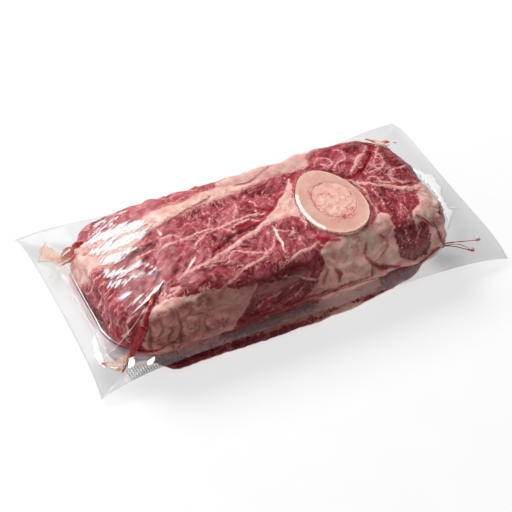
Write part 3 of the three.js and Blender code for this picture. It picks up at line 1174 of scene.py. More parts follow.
@dataclass(frozen=True)
class MeatFinish:
    """Raw muscle with marbling, and firm cream fat, with painted shade on the flanks and the back right and
    painted glints on the lean.
    """

    deep: Colour = (116, 28, 40)
    flesh: Colour = (160, 60, 70)
    pale_flesh: Colour = (190, 100, 106)
    marbling: Colour = (230, 164, 160)
    fat: Colour = (236, 196, 182)
    fat_pink: Colour = (222, 160, 152)
    vein: Colour = (200, 112, 106)
    cleft: Colour = (76, 10, 22)
    blood: Colour = (150, 20, 36)
    veil: Colour = (186, 142, 132)
    thin_fat: Colour = (228, 166, 158)
    crack: Colour = (122, 50, 46)
    # brown veins and spots on the fat, and painted shade in the creases between its lobes
    brown_and_crease_shade: Colour = (138, 58, 54)
    # painted glints
    painted_glint: Colour = (244, 206, 206)
    # painted shade, multiplied over the flanks and the back right
    painted_shade_tint: Colour = (214, 186, 186)
    # white flecks
    white_fleck: Colour = (246, 224, 212)

    def material(self) -> Material:
        """The meat's material, which reads the tissue stored on its mesh.

        Returns:
            The material.
        """
        g = Graph("meat")
        grain, place = g.vector("grain"), g.place()
        fat, aged = g.value("fat"), g.value("aged")
        fray = g.noise(place, 1.9, 4, 0.66)
        fatty = g.span(g.stirred(fat, fray, 0, 1, 1.5), -0.45, 0.35)

        # marbling: broken, wandering threads of fat between the bundles of the muscle, and short flecks
        drift = g.noise(grain, 16, 2, give="Color")
        grain = g.add("VectorMath", {0: drift, 1: (14, 14, 6), 2: grain}, operation="MULTIPLY_ADD").outputs[0]
        net = g.threads(grain, 9, (0.6, 1.1, 0.5), 0.024, (0.46, 0.58))
        finer = g.threads(grain, 4.2, (0.5, 1.1, 0.6), 0.034, (0.46, 0.6))
        fleck = g.noise(g.stretched(grain, (0.4, 0.9, 1)), 1.5, 3, 0.6)
        net = g.most(g.most(net, g.times(finer, 0.78)), g.span(fleck, 0.6, 0.74, 0, 0.6))
        # marbling shows less where the meat is painted darker
        net = g.times(net, g.span(aged, 0.02, 0.14, 1, 0.62))

        # the lean
        fibre = g.noise(g.stretched(grain, (0.25, 0.85, 1)), 1.7, 4, 0.55)
        tone = g.stirred(g.value("shade"), g.noise(grain, 8, 3, 0.55), 0.3, 0.7, 0.36)
        tone = g.plus(g.stirred(tone, fibre, 0.28, 0.72, 0.22), g.span(fat, -3.2, -0.4, 0, 0.2))
        lean = g.blend(g.span(tone, -0.05, 0.6), self.deep, self.flesh)
        lean = g.blend(g.span(tone, 0.42, 1.05), lean, self.pale_flesh)
        lean = g.blend(g.times(net, 0.8), lean, self.marbling)
        dark = g.span(g.value("dark"), -1.3, 0.9)
        lean = g.blend(g.times(dark, 0.7), lean, self.cleft)
        # painted glints: small pale specks on the lean, in patches, fewer where the meat is painted darker
        patchy = g.span(g.noise(place, 11, 2), 0.42, 0.6)
        speck = g.span(g.noise(place, 0.9, 2, 0.5), 0.66, 0.78)
        lean = g.blend(g.times(speck, g.times(patchy, g.span(aged, 0, 0.12, 0.36, 0.1))), lean, self.painted_glint)

        # the fat
        coat = g.blend(g.span(g.noise(place, 8, 5, 0.62), 0.38, 0.66), self.fat, self.fat_pink)
        coat = g.blend(g.span(fat, 0.3, 1.7), self.thin_fat, coat)
        veins = g.threads(place, 7, (0.6, 1, 1), 0.03, (0.42, 0.6))
        coat = g.blend(g.times(veins, 0.7), coat, self.vein)
        coat = g.blend(g.times(dark, 0.75), coat, self.crack)
        # brown veins and spots on the fat, and painted shade in the creases between its lobes, where the meat
        # is painted darker
        seams_and_crease_shade = g.most(g.threads(place, 13, (1, 1, 1), 0.045, (0.4, 0.56)), g.value("crease"))
        spots = g.span(g.noise(place, 6, 4, 0.65), 0.56, 0.72, 0, 0.6)
        coat = g.blend(g.times(g.most(seams_and_crease_shade, spots), g.span(aged, 0, 0.6, 0, 0.5)), coat, self.brown_and_crease_shade)

        # what lies over both
        colour = g.blend(fatty, lean, coat)
        blood = g.span(g.stirred(g.value("blood"), fray, 0, 1, 0.9), -1.1, 0.8)
        colour = g.blend(g.times(blood, 0.88), colour, self.blood)
        colour = g.blend(g.times(g.span(g.value("veil"), -2.5, 3), 0.52), colour, self.veil)
        # painted shade: a dull tint multiplied over the flanks and the back right
        colour = g.blend(aged, colour, self.painted_shade_tint, "MULTIPLY")
        # white flecks on the lean
        bright = g.span(g.stirred(g.value("bright"), fray, 0, 1, 0.5), -0.5, 0.4)
        colour = g.blend(bright, colour, self.white_fleck)
        rise = g.plus(g.times(fibre, g.span(fatty, 0, 1, 1, 0.15)), g.times(net, 0.5))
        normal = g.bump(fray, 0.3, 0.3, g.bump(rise, 0.4, 0.5))
        return g.finish(g.skin(colour, 0.42, normal, 0.15))


@dataclass(frozen=True)
class BoneFinish:
    """Sawn fresh bone, damp and slightly pink."""

    sawn: Colour = (216, 158, 142)
    pale: Colour = (225, 174, 159)
    grey: Colour = (206, 163, 155)
    saw_mark: Colour = (205, 150, 130)
    pore: Colour = (196, 84, 80)
    skin: Colour = (252, 240, 228)
    flesh: Colour = (206, 112, 102)
    rim: Colour = (228, 200, 178)
    blood: Colour = (196, 60, 66)

    def material(self) -> Material:
        """The bone's material, which reads how far out each point of the ring is.

        Returns:
            The material.
        """
        g = Graph("bone")
        place, across = g.place(), g.value("across")
        cloudy = g.noise(place, 14, 3)
        colour = g.blend(g.span(cloudy, 0.35, 0.65), self.sawn, self.pale)
        far = g.stirred(across, cloudy, 0.3, 0.7, 0.14)
        lie = g.add("VectorMath", {0: place, 1: (-0.6, 0.8, 0)}, operation="DOT_PRODUCT").outputs["Value"]
        greyed = g.times(g.span(far, 0.5, 0.12, 0, 0.85), g.span(lie, -60, -38, 0.1, 1))
        colour = g.blend(greyed, colour, self.grey)
        saw = g.noise(g.stretched(place, (0.12, 1.6, 1)), 1.1, 3)
        colour = g.blend(g.span(saw, 0.3, 0.75, 0, 0.22), colour, self.saw_mark)
        speck = g.noise(place, 1.2, 3, 0.7)
        colour = g.blend(g.times(g.span(speck, 0.54, 0.62), g.span(across, 0.1, -0.03)), colour, self.pore)
        colour = g.blend(g.span(across, 0.7, 0.94, 0, 0.7), colour, self.rim)
        bloody = g.stirred(g.value("blood"), speck, 0.34, 0.66, 0.9)
        colour = g.blend(g.span(bloody, 0.05, 0.9, 0, 0.8), colour, self.blood)
        edge = g.span(g.stirred(across, speck, 0.3, 0.7, 0.05), 0.93, 1.0)
        colour = g.blend(g.times(edge, 0.85), colour, self.flesh)
        colour = g.blend(g.span(g.value("skin"), 0.35, 0.75), colour, self.skin)
        return g.finish(g.skin(colour, 0.38, g.bump(g.plus(saw, speck), 0.12, 0.5)))


@dataclass(frozen=True)
class MarrowFinish:
    """Soft marrow, mottled and flecked with blood."""

    body: Colour = (230, 170, 157)
    pink: Colour = (222, 144, 134)
    cream: Colour = (238, 194, 178)
    fleck: Colour = (196, 48, 58)

    def material(self) -> Material:
        """The marrow's material, which reads where blood shows.

        Returns:
            The material.
        """
        g = Graph("marrow")
        place = g.place()
        soft = g.noise(place, 6, 4, 0.6)
        colour = g.blend(g.span(soft, 0.32, 0.62), self.cream, self.body)
        colour = g.blend(g.span(soft, 0.58, 0.75), colour, self.pink)
        folds = g.threads(place, 7, (1, 1, 1), 0.035, (0.4, 0.55))
        colour = g.blend(g.times(folds, 0.55), colour, self.pink)
        grit = g.noise(place, 1.1, 4, 0.72)
        bloody = g.stirred(g.value("blood"), grit, 0.34, 0.66, 1.2)
        colour = g.blend(g.span(bloody, 0.05, 0.9, 0, 0.9), colour, self.fleck)
        return g.finish(g.skin(colour, 0.34, g.bump(g.plus(grit, folds), 0.35, 0.6)))


@dataclass(frozen=True)
class FilmFinish:
    """Clear vacuum film: see-through, with a gloss, milky where it is embossed, and streaked with painted
    glare where it is crumpled.
    """

    clear: float = 0.965
    dull: float = 0.6
    haze: Colour = (248, 246, 247)
    lit_through: Colour = (250, 248, 250)
    emboss_pitch: float = 2.6
    roughness: float = 0.07

    def material(self) -> Material:
        """The film's material, which reads how milky and how crinkled each point is.

        Returns:
            The material.
        """
        g = Graph("film")
        place, crinkle = g.place(), g.value("crinkle")
        ripple = g.noise(g.stretched(place, (0.35, 1.2, 1)), 3.2, 3, 0.5)
        fine = g.noise(place, 1.6, 2)
        normal = g.bump(g.times(ripple, crinkle), 1.1, 1)
        normal = g.bump(g.times(fine, g.span(crinkle, 0, 1, 0.35, 1)), 0.22, 1, normal)

        # the diamond embossing
        split = g.add("SeparateXYZ", {0: place}).outputs
        sums = (g.plus(split[0], g.times(split[1], sign)) for sign in (1.0, -1.0))
        waves = [g.math("SINE", g.times(total, self.emboss_pitch)) for total in sums]
        check = g.times(g.times(*waves), g.value("emboss"))
        normal = g.bump(check, 0.03, 1, normal)
        milk = g.plus(g.value("milk"), g.times(g.math("ABSOLUTE", check), 0.06))

        # painted glare: white streaks along the crumpled film
        laid, crumple = g.vector("wrinkle"), g.value("crumple")
        comb = g.math("MULTIPLY_ADD", crumple, 0.05, g.noise(laid, 1.6, 4, 0.62))
        comb = g.math("MULTIPLY_ADD", g.noise(laid, 5, 2, 0.5), 0.45, comb)
        gate = g.span(crumple, 0.0, 0.6)
        white = g.times(g.times(g.span(comb, 0.81, 0.92), g.span(fine, 0.3, 0.7, 0.62, 0.98)), gate)
        normal = g.bump(g.times(comb, gate), 0.7, 1, normal)
        milk = g.most(milk, white)

        see = g.blend(g.value("dim"), *((*(light,) * 3, 1) for light in (self.clear, self.dull)))
        clear = g.add("BsdfTransparent", {"Color": see}).outputs[0]
        haze = g.add("BsdfDiffuse", {"Color": tint(*self.haze), "Normal": normal}).outputs[0]
        through = g.add("BsdfTranslucent", {"Color": tint(*self.lit_through), "Normal": normal}).outputs[0]
        body = g.merge(milk, clear, g.merge(g.value("below"), haze, through))
        mirror = {"Color": (1, 1, 1, 1), "Roughness": self.roughness, "Normal": normal}
        facing = g.add("LayerWeight", {"Normal": normal}).outputs["Facing"]
        share = g.math("MULTIPLY_ADD", g.math("POWER", facing, 5.0), 0.96, 0.04)
        share = g.math("MULTIPLY", share, g.value("gloss"), clamp=True)
        return g.finish(g.merge(share, body, g.add("BsdfGlossy", mirror).outputs[0]))


@dataclass(frozen=True)
class JuiceFinish:
    """Meat juice: deep red where it is thick, orange and then pale where it runs thin."""

    thick: Colour = (150, 2, 26)
    thin: Colour = (214, 98, 74)
    pale: Colour = (250, 234, 224)

    def material(self) -> Material:
        """The juice's material, which reads how thin it has run.

        Returns:
            The material.
        """
        g = Graph("juice")
        run = g.stirred(g.value("run"), g.noise(g.place(), 2.2, 3), 0.3, 0.7, 0.14)
        colour = g.blend(g.span(run, 0.05, 0.5), self.thick, self.thin)
        colour = g.blend(g.span(run, 0.55, 0.95), colour, self.pale)
        wet = g.skin(colour, 0.12, g.bump(g.noise(g.place(), 2.6, 2), 1.6, 1), 0.35)
        clear = g.add("BsdfTransparent", {"Color": colour}).outputs[0]
        return g.finish(g.merge(g.span(run, 0.2, 1.3, 0, 0.85), wet, clear))


# ---- bone and marrow


@dataclass
class ShankBone:
    """The sawn bone and the marrow in it, from the meat's underside to a little above its upper face."""

    steps: int = 260
    round_over: float = 0.7
    sink: float = 0.02
    skin_angle: float = 189
    blood: Path = (
        (40, -48, 7.5, 3.2),
        (47, -43, 3, 2.6),
        (36, -21, 2.6, 1.0),
        (40.5, -24, 0.9, 3.0),
        (53.6, -29, 0.9, 3.4),
        (38, -11.8, 6.5, 1.2),
        (29.4, -17, 1.6, 3.4),
        (27.4, -28, 1.1, 9),
        (30, -39, 1.2, 4),
    )

    @property
    def top(self) -> float:
        """Height of the bone's sawn end."""
        return float(FORM.face_height(np.float64(BONE.x), np.float64(BONE.y))) + BONE_RISE

    def bone(self) -> Object:
        """Makes the bone: a closed tube with a rounded, slightly uneven rim.

        Returns:
            The bone.
        """
        turns = full_turn(self.steps)
        circle = np.stack([6 * np.cos(turns), 6 * np.sin(turns), 0 * turns], 1)
        stray = 0.35 * cloud(circle, 3, 51)
        inner, outer = MARROW.ring(turns), BONE.ring(turns, grow=stray)
        rows, across = [], []

        def put(xy: Array, z: float, share: float) -> None:
            """Adds a ring at a height, its share 0 at the marrow and 1 at the meat.

            Args:
                xy: The ring's points.
                z: Its height in millimetres.
                share: 0 at the marrow, 1 at the meat.
            """
            flat = np.column_stack([xy, np.zeros(self.steps)])
            rows.append(np.column_stack([xy, z + 0.12 * cloud(flat, 5, 52) * (z > 5)]))
            across.append(share)

        put(inner, 0, 0)
        put(inner, self.top - 1.5, 0)
        for share in np.linspace(0, 0.94, 26):
            bevel = 0.12 * max(0, 0.05 - share) / 0.05
            put(mix(inner, outer, share), self.top - bevel - 0.2 * math.sin(share * math.pi), share)
        for turn in np.linspace(0.15, 1, 6) * math.pi / 2:
            grow = self.round_over * (math.sin(turn) - 1)
            put(BONE.ring(turns, grow=stray + grow), self.top - self.round_over * (1 - math.cos(turn)), 0.97)
        put(outer, self.top - 4, 1)
        put(outer, 0, 1)
        for share in (0.66, 0.33):
            put(mix(inner, outer, share), 0, share)
        points, share = np.vstack(rows), np.repeat(across, self.steps)
        faces = ring_quads(len(rows) + 1, self.steps)
        faces = [[i % len(points) for i in face] for face in faces]
        piece = mesh_object("shank_bone", points, faces)
        left = ramp(np.cos(np.tile(turns, len(rows)) - math.radians(self.skin_angle)), 0.72, 0.86)
        frayed = share + 0.09 * cloud(points, 3, 53)
        skin = left * ramp(frayed, 0.74, 0.86) * ramp(points[:, 2], 20, 40)
        set_values(piece, across=share, skin=skin, blood=self.bloody(points))
        return settle(piece, BoneFinish().material(), "bone", "bone")

    def bloody(self, points: Array) -> Array:
        """How deep in blood each point lies."""
        x, y, _ = points.T
        return np.maximum.reduce([1 - np.hypot((x - a) / p, (y - b) / q) for a, b, p, q in self.blood])

    def marrow(self) -> Object:
        """Makes the marrow: a plug with a soft, pitted end.

        Returns:
            The marrow.
        """
        turns = full_turn(self.steps)
        rows = [np.column_stack([MARROW.ring(turns, scale=s), 0 * turns]) for s in (0.05, 0.5, 0.995)]
        for share in np.linspace(0.995, 0.02, 40):
            xy = MARROW.ring(turns, scale=share)
            pits = 0.25 * cloud(np.column_stack([xy, 0 * turns]), 5, 61) * (1 - share**6)
            rows.append(np.column_stack([xy, self.top - self.sink + pits]))
        points = np.vstack(rows)
        piece = mesh_object("bone_marrow", points, loft_faces(len(rows), self.steps))
        set_values(piece, blood=self.bloody(points))
        return settle(piece, MarrowFinish().material(), "marrow", "marrow")


# ---- the bag


@dataclass(frozen=True)
class Pinch:
    """A gathered spot at the meat's edge, from which folds run out into the margin."""

    x: float
    y: float
    reach: float
    height: float
    folds_round: float
    seed: int

    def folds(self, xy: Array) -> Array:
        """Height of the folds at places in the margin.

        Args:
            xy: The places.

        Returns:
            The heights in millimetres.
        """
        dx, dy = xy[:, 0] - self.x, xy[:, 1] - self.y
        away, angle = np.hypot(dx, dy), np.arctan2(dy, dx)
        turned = np.column_stack([self.folds_round * turn(angle) for turn in (np.cos, np.sin)] + [away / 40])
        sharp = 1 - 2 * np.abs(cloud(turned, 1, self.seed, 2))
        return self.height * sharp * np.exp(-((away / self.reach) ** 2)) * ramp(away, 0, 6)


@dataclass(frozen=True)
class Channel:
    """A way through the margin that juice has run along and that holds the films apart."""

    path: Path
    height: float
    half_width: float = 1.5

    def rise(self, xy: Array) -> Array:
        """How far the upper film is lifted at places in the margin.

        Args:
            xy: The places.

        Returns:
            The heights in millimetres.
        """
        path = np.column_stack([np.asarray(self.path), np.zeros(len(self.path))])
        away = nearest_on_path(xy[:, 0], xy[:, 1], path)[1]
        return self.height * (1 - ramp(away, self.half_width * 0.4, self.half_width * 1.6))


@dataclass
class Drape:
    """A sheet laid over points, which bridges narrow hollows."""

    points: Array
    cell: float = 1.0
    bridge: int = 2
    grid: Array = field(init=False)
    start: Array = field(init=False)

    def __post_init__(self) -> None:
        """Works out the sheet's height over a grid, its empty cells filled from those beside them."""
        self.start = self.points[:, :2].min(0) - 2 * self.cell
        cells = np.round((self.points[:, :2] - self.start) / self.cell).astype(int)
        grid = np.full(cells.max(0) + 3, -np.inf)
        np.maximum.at(grid, (cells[:, 0], cells[:, 1]), self.points[:, 2])
        while np.isinf(grid).any():
            grid = np.where(np.isinf(grid), widened(grid, 1), grid)
        closed = -widened(-widened(grid, self.bridge), self.bridge)
        self.grid = blurred(np.maximum(blurred(np.maximum(closed, grid), 1), grid), 1)

    def height(self, x: Array, y: Array) -> Array:
        """The sheet's height at places.

        Args:
            x: Places along the pack.
            y: Places across it.

        Returns:
            The heights in millimetres.
        """
        spot = (np.stack([x, y], -1) - self.start) / self.cell
        spot = np.clip(spot, 0, np.array(self.grid.shape) - 1.001)
        low = np.floor(spot).astype(int)
        u, v = np.moveaxis(spot - low, -1, 0)
        i, j = np.moveaxis(low, -1, 0)
        near = mix(self.grid[i, j], self.grid[i + 1, j], u)
        far = mix(self.grid[i, j + 1], self.grid[i + 1, j + 1], u)
        return mix(near, far, v)


@dataclass
class Bag:
    """The clear bag: two films, tight over the meat and flat against each other in the margin."""

    pinches: tuple[Pinch, ...] = (
        Pinch(-122, -64, 20, 1.8, 3.2, 83),
        Pinch(-126, 40, 20, 1.4, 2.6, 84),
        Pinch(108, -60, 24, 1.0, 3.0, 85),
        Pinch(108, 26, 22, 1.0, 2.6, 86),
    )
    channels: tuple[Channel, ...] = (
        Channel(((109, -60.5), (125.5, -62.3), (137.4, -64.5)), 1.0),
        Channel(((111, -61.5), (118, -65), (128.2, -71.4)), 1.0),
        Channel(((129, 60), (133, 56), (136.8, 52.2)), 0.9),
        Channel(((-128, 34.6), (-134.6, 41.6), (-144, 43.8)), 1.0, 2.2),
        Channel(((-129, 41), (-133.6, 63)), 0.6),
        Channel(((-123, -66), (-130.4, -69)), 1.2, 2.4),
        Channel(((-125, -65), (-140, -62)), 1.0, 2.0),
    )
    length: float = 300
    width: float = 165
    corner_height: float = 3.5
    droop: float = 1.2
    draw: tuple[float, ...] = (3, 2.5, 20, 2.5)
    fullness: float = 0.8
    corner_power: float = 7
    wave: Triple = (0.8, 4.3, 1)
    count: int = 600
    margin: int = 22
    gap: float = 0.5
    clearance: float = 0.35
    over_bone: float = 0.3
    front_lift: float = 7.5
    # painted glare over the crumpled film at the left of the top: how far it spreads past its areas, the lean
    # of its streaks, and its areas
    crumple_glare_spread: float = 1.9
    comb_lean: float = 0.42
    glare_crumples: tuple[Path, ...] = (
        ((-121.5, 12.8, 2), (-114, 12, 4), (-105.5, 11, 5.5), (-96, 9.5, 5.5), (-86, 8, 5), (-78, 7, 2)),
        ((-119, 2, 3), (-110, 0, 5), (-100.5, -1, 5.5), (-90.5, -1, 4), (-82, 2, 2)),
        ((-118, -9, 3), (-112, -12, 4), (-104.5, -12, 3), (-96, -11, 1.5)),
        ((-114, 19.5, 0.8), (-106, 20.4, 1.3), (-98.7, 18, 1)),
        ((-107.7, 24.2, 0.8), (-101.7, 24.9, 1.2), (-94, 22.5, 0.8)),
        ((-98.5, 29.5, 0.6), (-93, 28.5, 0.9), (-86, 25, 0.5)),
        ((-119, -19, 2), (-113, -24.5, 3.2), (-106, -26, 3.4), (-99, -26.5, 3.4), (-93.5, -29.5, 3.2),
         (-91.5, -34.5, 2)),
        ((-119.5, -30, 1.5), (-114, -33.5, 2.4), (-107, -33.6, 2), (-100, -34.4, 1.8), (-94.5, -36, 1.6)),
        ((-119.4, -44.6, 1.4), (-115.2, -44.6, 2), (-111, -47.2, 1.8), (-106.3, -49.4, 0.9)),
        ((-119.6, -51.4, 0.8), (-117, -54, 1.2), (-112.6, -52.8, 1.1), (-109, -51.4, 0.5)),
    )

    @staticmethod
    def along(places: Array) -> tuple[Array, Array]:
        """The number of the side at places round the bag, and how far along it they are."""
        return np.floor(places).astype(int) % 4, places - np.floor(places)

    def edge(self, places: Array) -> Array:
        """The bag's outline at places round it.

        Args:
            places: Places round the bag.

        Returns:
            The outline's points.
        """
        side, share = self.along(places)
        share = share[:, None]
        x, y = self.length / 2, self.width / 2
        corners = np.array([(-x, -y), (x, -y), (x, y), (-x, y)])
        start, end = corners[side], corners[(side + 1) % 4]
        along = end - start
        inwards = np.stack([-along[:, 1], along[:, 0]], 1) / np.linalg.norm(along, axis=1)[:, None]
        drawn = np.array(self.draw)[side][:, None] * np.sin(math.pi * share) ** self.fullness
        return start + along * share + inwards * drawn

    def margin_height(self, places: Array, out: float, inner: Array) -> Array:
        """Height of the margin's middle, out being 0 at the meat and 1 at the bag's edge.

        Args:
            places: Places round the bag.
            out: 0 at the meat, 1 at the bag's edge.
            inner: The heights at the meat.

        Returns:
            The heights in millimetres.
        """
        near_corner = np.abs(2 * self.along(places)[1] - 1) ** self.corner_power
        size, per_side, begin = self.wave
        edge = mix(FORM.seam - self.droop, self.corner_height, near_corner)
        wave = size * np.sin(places * per_side + begin) * (1 - near_corner)
        return mix(inner, edge + wave, out)

    def leaving(self, places: Array) -> Array:
        """How much higher than the seam the upper film leaves the meat, along the front.

        Args:
            places: Places round the bag.

        Returns:
            The heights in millimetres.
        """
        side, share = self.along(places)
        lifted = ramp(share, 0.22, 0.42) * (1 - ramp(share, 0.72, 0.88))
        return np.where(side == 0, self.front_lift * lifted, 0)

    def tight_film(self, body: Beef) -> Array:
        """The film drawn tight over the meat and the bone.

        Args:
            body: the meat, shaped.

        Returns:
            The film's rings, with the same places as the meat's.
        """
        x, y, z = np.moveaxis(body.rings, -1, 0)
        bone_top = ShankBone().top
        over_bone = (BONE.reach(x, y)[0] < 1.05) & (body.levels[:, None] > 1.5)
        lift = np.where(over_bone, np.maximum(body.lift, bone_top + self.over_bone - z), body.lift)
        stand = np.maximum(blurred(widened(lift, 2), 2), lift) + self.clearance
        tight = body.rings + body.normals * stand[..., None]
        bare = body.rings + body.normals * lift[..., None]
        bare[..., 2] = np.where(over_bone, np.maximum(bare[..., 2], bone_top), bare[..., 2])
        sheet = Drape(bare[body.levels > 1.2].reshape(-1, 3))
        height = sheet.height(tight[..., 0], tight[..., 1]) + self.clearance
        tight[..., 2] = mix(tight[..., 2], height, ramp(body.levels, 1.55, 1.8)[:, None])
        tight[..., 2] = np.maximum(tight[..., 2], 0.0)
        return tight

    def build(self, film: Material) -> Object:
        """Makes both films as one closed mesh of the given material.

        Args:
            film: The film's material.

        Returns:
            The bag.
        """
        body = Beef(count=self.count, under=9, foot=5, flank=24, crown=24, face=40)
        body.shape()
        tight = self.tight_film(body)
        crinkle = self.crinkle(body.points, body.level).reshape(body.lift.shape)
        places = np.arange(self.count) * 4 / self.count

        # the lower film leaves the meat at its seam, the upper one there or higher
        height = body.rings[:, 0, 2]
        flank = (body.levels >= 0) & (body.levels <= 1)
        low = (body.levels < 0) | (flank & (height < FORM.seam - 0.3))
        high = (body.levels > 1) | (flank & (height > FORM.seam + 0.3))
        lower, upper = tight[low], tight[high].copy()
        rise = self.leaving(places)
        for row, z in zip(upper, height[high]):
            row[:, 2] += np.clip(FORM.seam + 0.4 + rise - z, 0, None) * (z < FORM.shoulder)
        shares = np.linspace(0, 1, self.margin + 1) ** 1.2
        rows_low = [self.margin_row(places, lower[-1], share, -1) for share in shares[1:]]
        rows_high = [self.margin_row(places, upper[0], share, 1) for share in shares[:0:-1]]
        rings = np.array([*lower, *rows_low, *rows_high, *upper])
        piece = mesh_object("bag_film", rings.reshape(-1, 3), loft_faces(len(rings), self.count))
        outs = np.concatenate([np.zeros(len(lower)), shares[1:], shares[:0:-1], np.zeros(len(upper))])
        crinkles = np.zeros((len(rings), self.count))
        crinkles[: len(lower)] = 0.15
        crinkles[-len(upper) :] = crinkle[high]
        self.dress(piece, rings, outs, crinkles.ravel(), places)
        return settle(piece, film, "film", "bag")

    def margin_row(self, places: Array, inner: Array, share: float, way: int) -> Array:
        """One row of the margin.

        Args:
            places: where round the bag.
            inner: the film's points where it leaves the meat.
            share: 0 at the meat, 1 at the bag's edge.
            way: 1 for the upper film and -1 for the lower.

        Returns:
            The row's points.
        """
        xy = mix(inner[:, :2], self.edge(places), share)
        z = self.margin_height(places, share, inner[:, 2])
        laid = np.column_stack([places * 16, np.full(len(places), share * 1.2), 0 * places])
        pleats = cloud(laid, 1, 81, 2)
        z += 0.35 * pleats * math.sin(math.pi * min(share * 1.1, 1)) ** 0.7
        held = math.sin(math.pi * min(share, 0.999)) ** 0.6
        for pinch in self.pinches:
            z += pinch.folds(xy) * held
        opened = sum(channel.rise(xy) for channel in self.channels) if way > 0 else 0
        return np.column_stack([xy, np.maximum(z + way * self.gap / 2 * (1 - 0.4 * share) + opened, 0.2)])

    def crinkle(self, points: Array, level: Array) -> Array:
        """How crinkled the film is over the meat: most on the left shoulder and by the corners.

        Args:
            points: Points of the film.
            level: Their levels, counted up the block.

        Returns:
            The amounts, from 0 to 1.
        """
        x, y, _ = points.T
        edge = 5 * cloud(points, 14, 73, 2)
        shoulder = ramp(-x + edge, 82, 96) * ramp(level, 1.12, 1.4) * (1 - ramp(-x, 124, 131))
        behind = 0.8 * ramp(y + edge, 16, 26) * ramp(-x + edge, 56, 74) * ramp(level, 1.1, 1.3)
        return np.maximum(np.maximum(shoulder, behind), 0.1 * ramp(level, 0.2, 0.6))

    def dress(self, piece: Object, rings: Array, outs: Array, crinkle: Array, places: Array) -> None:
        """Stores how milky, dim, glossy, crinkled and embossed each point of the film is.

        Args:
            piece: the film.
            rings: its points.
            outs: how far out each ring is, 0 over the meat and 1 at the bag's edge.
            crinkle: how crinkled each point is.
            places: where round the bag each ring's points are.
        """
        x, y, z = rings.reshape(-1, 3).T
        out = np.repeat(outs, self.count)
        place = np.tile(places, len(outs))
        front = np.abs((place + 0.5) % 4 - 1) < 0.5
        margin, rim = ramp(out, 0, 0.05), ramp(out, 0.97, 0.995)
        strip = margin * front * ramp(x, -118, -100)
        beyond = np.hypot(np.minimum(x + 105, 0), np.minimum(y + 38, 0)) - 25.4
        veil = 0.4 * margin * ramp(beyond, 0, 1.4) * ramp(-x, 106, 116)
        veil = veil * ramp(-out, -0.6, -0.15) * ramp(-y, -40, -20)
        milk = 0.02 * margin + 0.1 * strip + 0.08 * rim + veil
        height = ramp(z, 18, 44) * (1 - margin)
        gloss = 0.03 + 0.04 * height + 0.14 * crinkle * height + 0.12 * margin

        # dimness: more at the left and right ends, in the corners, in the meat's shadow and on the seal
        low_corner = np.exp(-(((x + 138) / 26) ** 2) - ((y + 72) / 24) ** 2)
        over_floor = 1 - front * ramp(x, -112, -90) * (1 - ramp(x, 88, 104))
        left, right = 0.22 * ramp(-x, 112, 126), (0.1 + 0.22 * ramp(-y, -50, 20)) * ramp(x, 96, 136)
        streaks = 0.12 * cloud(np.column_stack([x / 26, y / 60, 0 * x]), 1, 94, 3)
        shaded = np.exp(-(((x - 104) / 16) ** 2) - ((y + 72) / 12) ** 2)
        dim = 0.17 + 0.06 * low_corner + left + right + streaks + 0.6 * shaded
        sealed = front * ramp(place, 0.064, 0.074) * (1 - ramp(place, 0.187, 0.2)) * ramp(out, 0.5, 0.6)
        dim = 0.73 * margin * over_floor * np.maximum(dim, 0.02) + 0.46 * margin * sealed + 0.04 * rim

        # painted glare over the crumpled film: white streaks, combed along their lie
        over = (z > 30) & (out == 0)
        crumple = np.zeros(len(x))
        depth = np.maximum.reduce([depth_inside(x[over], y[over], path) for path in self.glare_crumples])
        crumple[over] = np.clip(depth + self.crumple_glare_spread, 0, 5.5)
        along, across = x + self.comb_lean * y, y - self.comb_lean * x
        set_values(
            piece,
            wrinkle=np.column_stack([along / 5.5, across, z * 0.6]),
            crumple=crumple,
            dim=dim,
            below=0.5 * margin,
            milk=milk,
            gloss=gloss * (1 - 0.9 * rim),
            crinkle=np.maximum(crinkle, 0.25 * margin),
            emboss=margin * (0.35 + 0.65 * front),
        )


# ---- juice, folds and seal


class Facing(Enum):
    """The way that the flat of a run of juice or film faces."""

    UP = (0, 0, 1)
    CORNER = (-0.6, -0.8, 0.2)
    RIGHT = (0.75, -0.6, 0.3)
    BACK_EDGE = (-0.5, -0.3, 0.8)
    LEFT = (-0.32, -0.66, 0.68)
    FRONT = (0, -1, 0.25)
    SHOULDER = (-0.25, 0.2, 0.95)
    LEFT_FOOT = (-0.5, -0.4, 0.75)
    LEFT_MARGIN = (-0.2, -0.2, 0.96)
    LAMP = (-0.61, -0.42, 0.68)


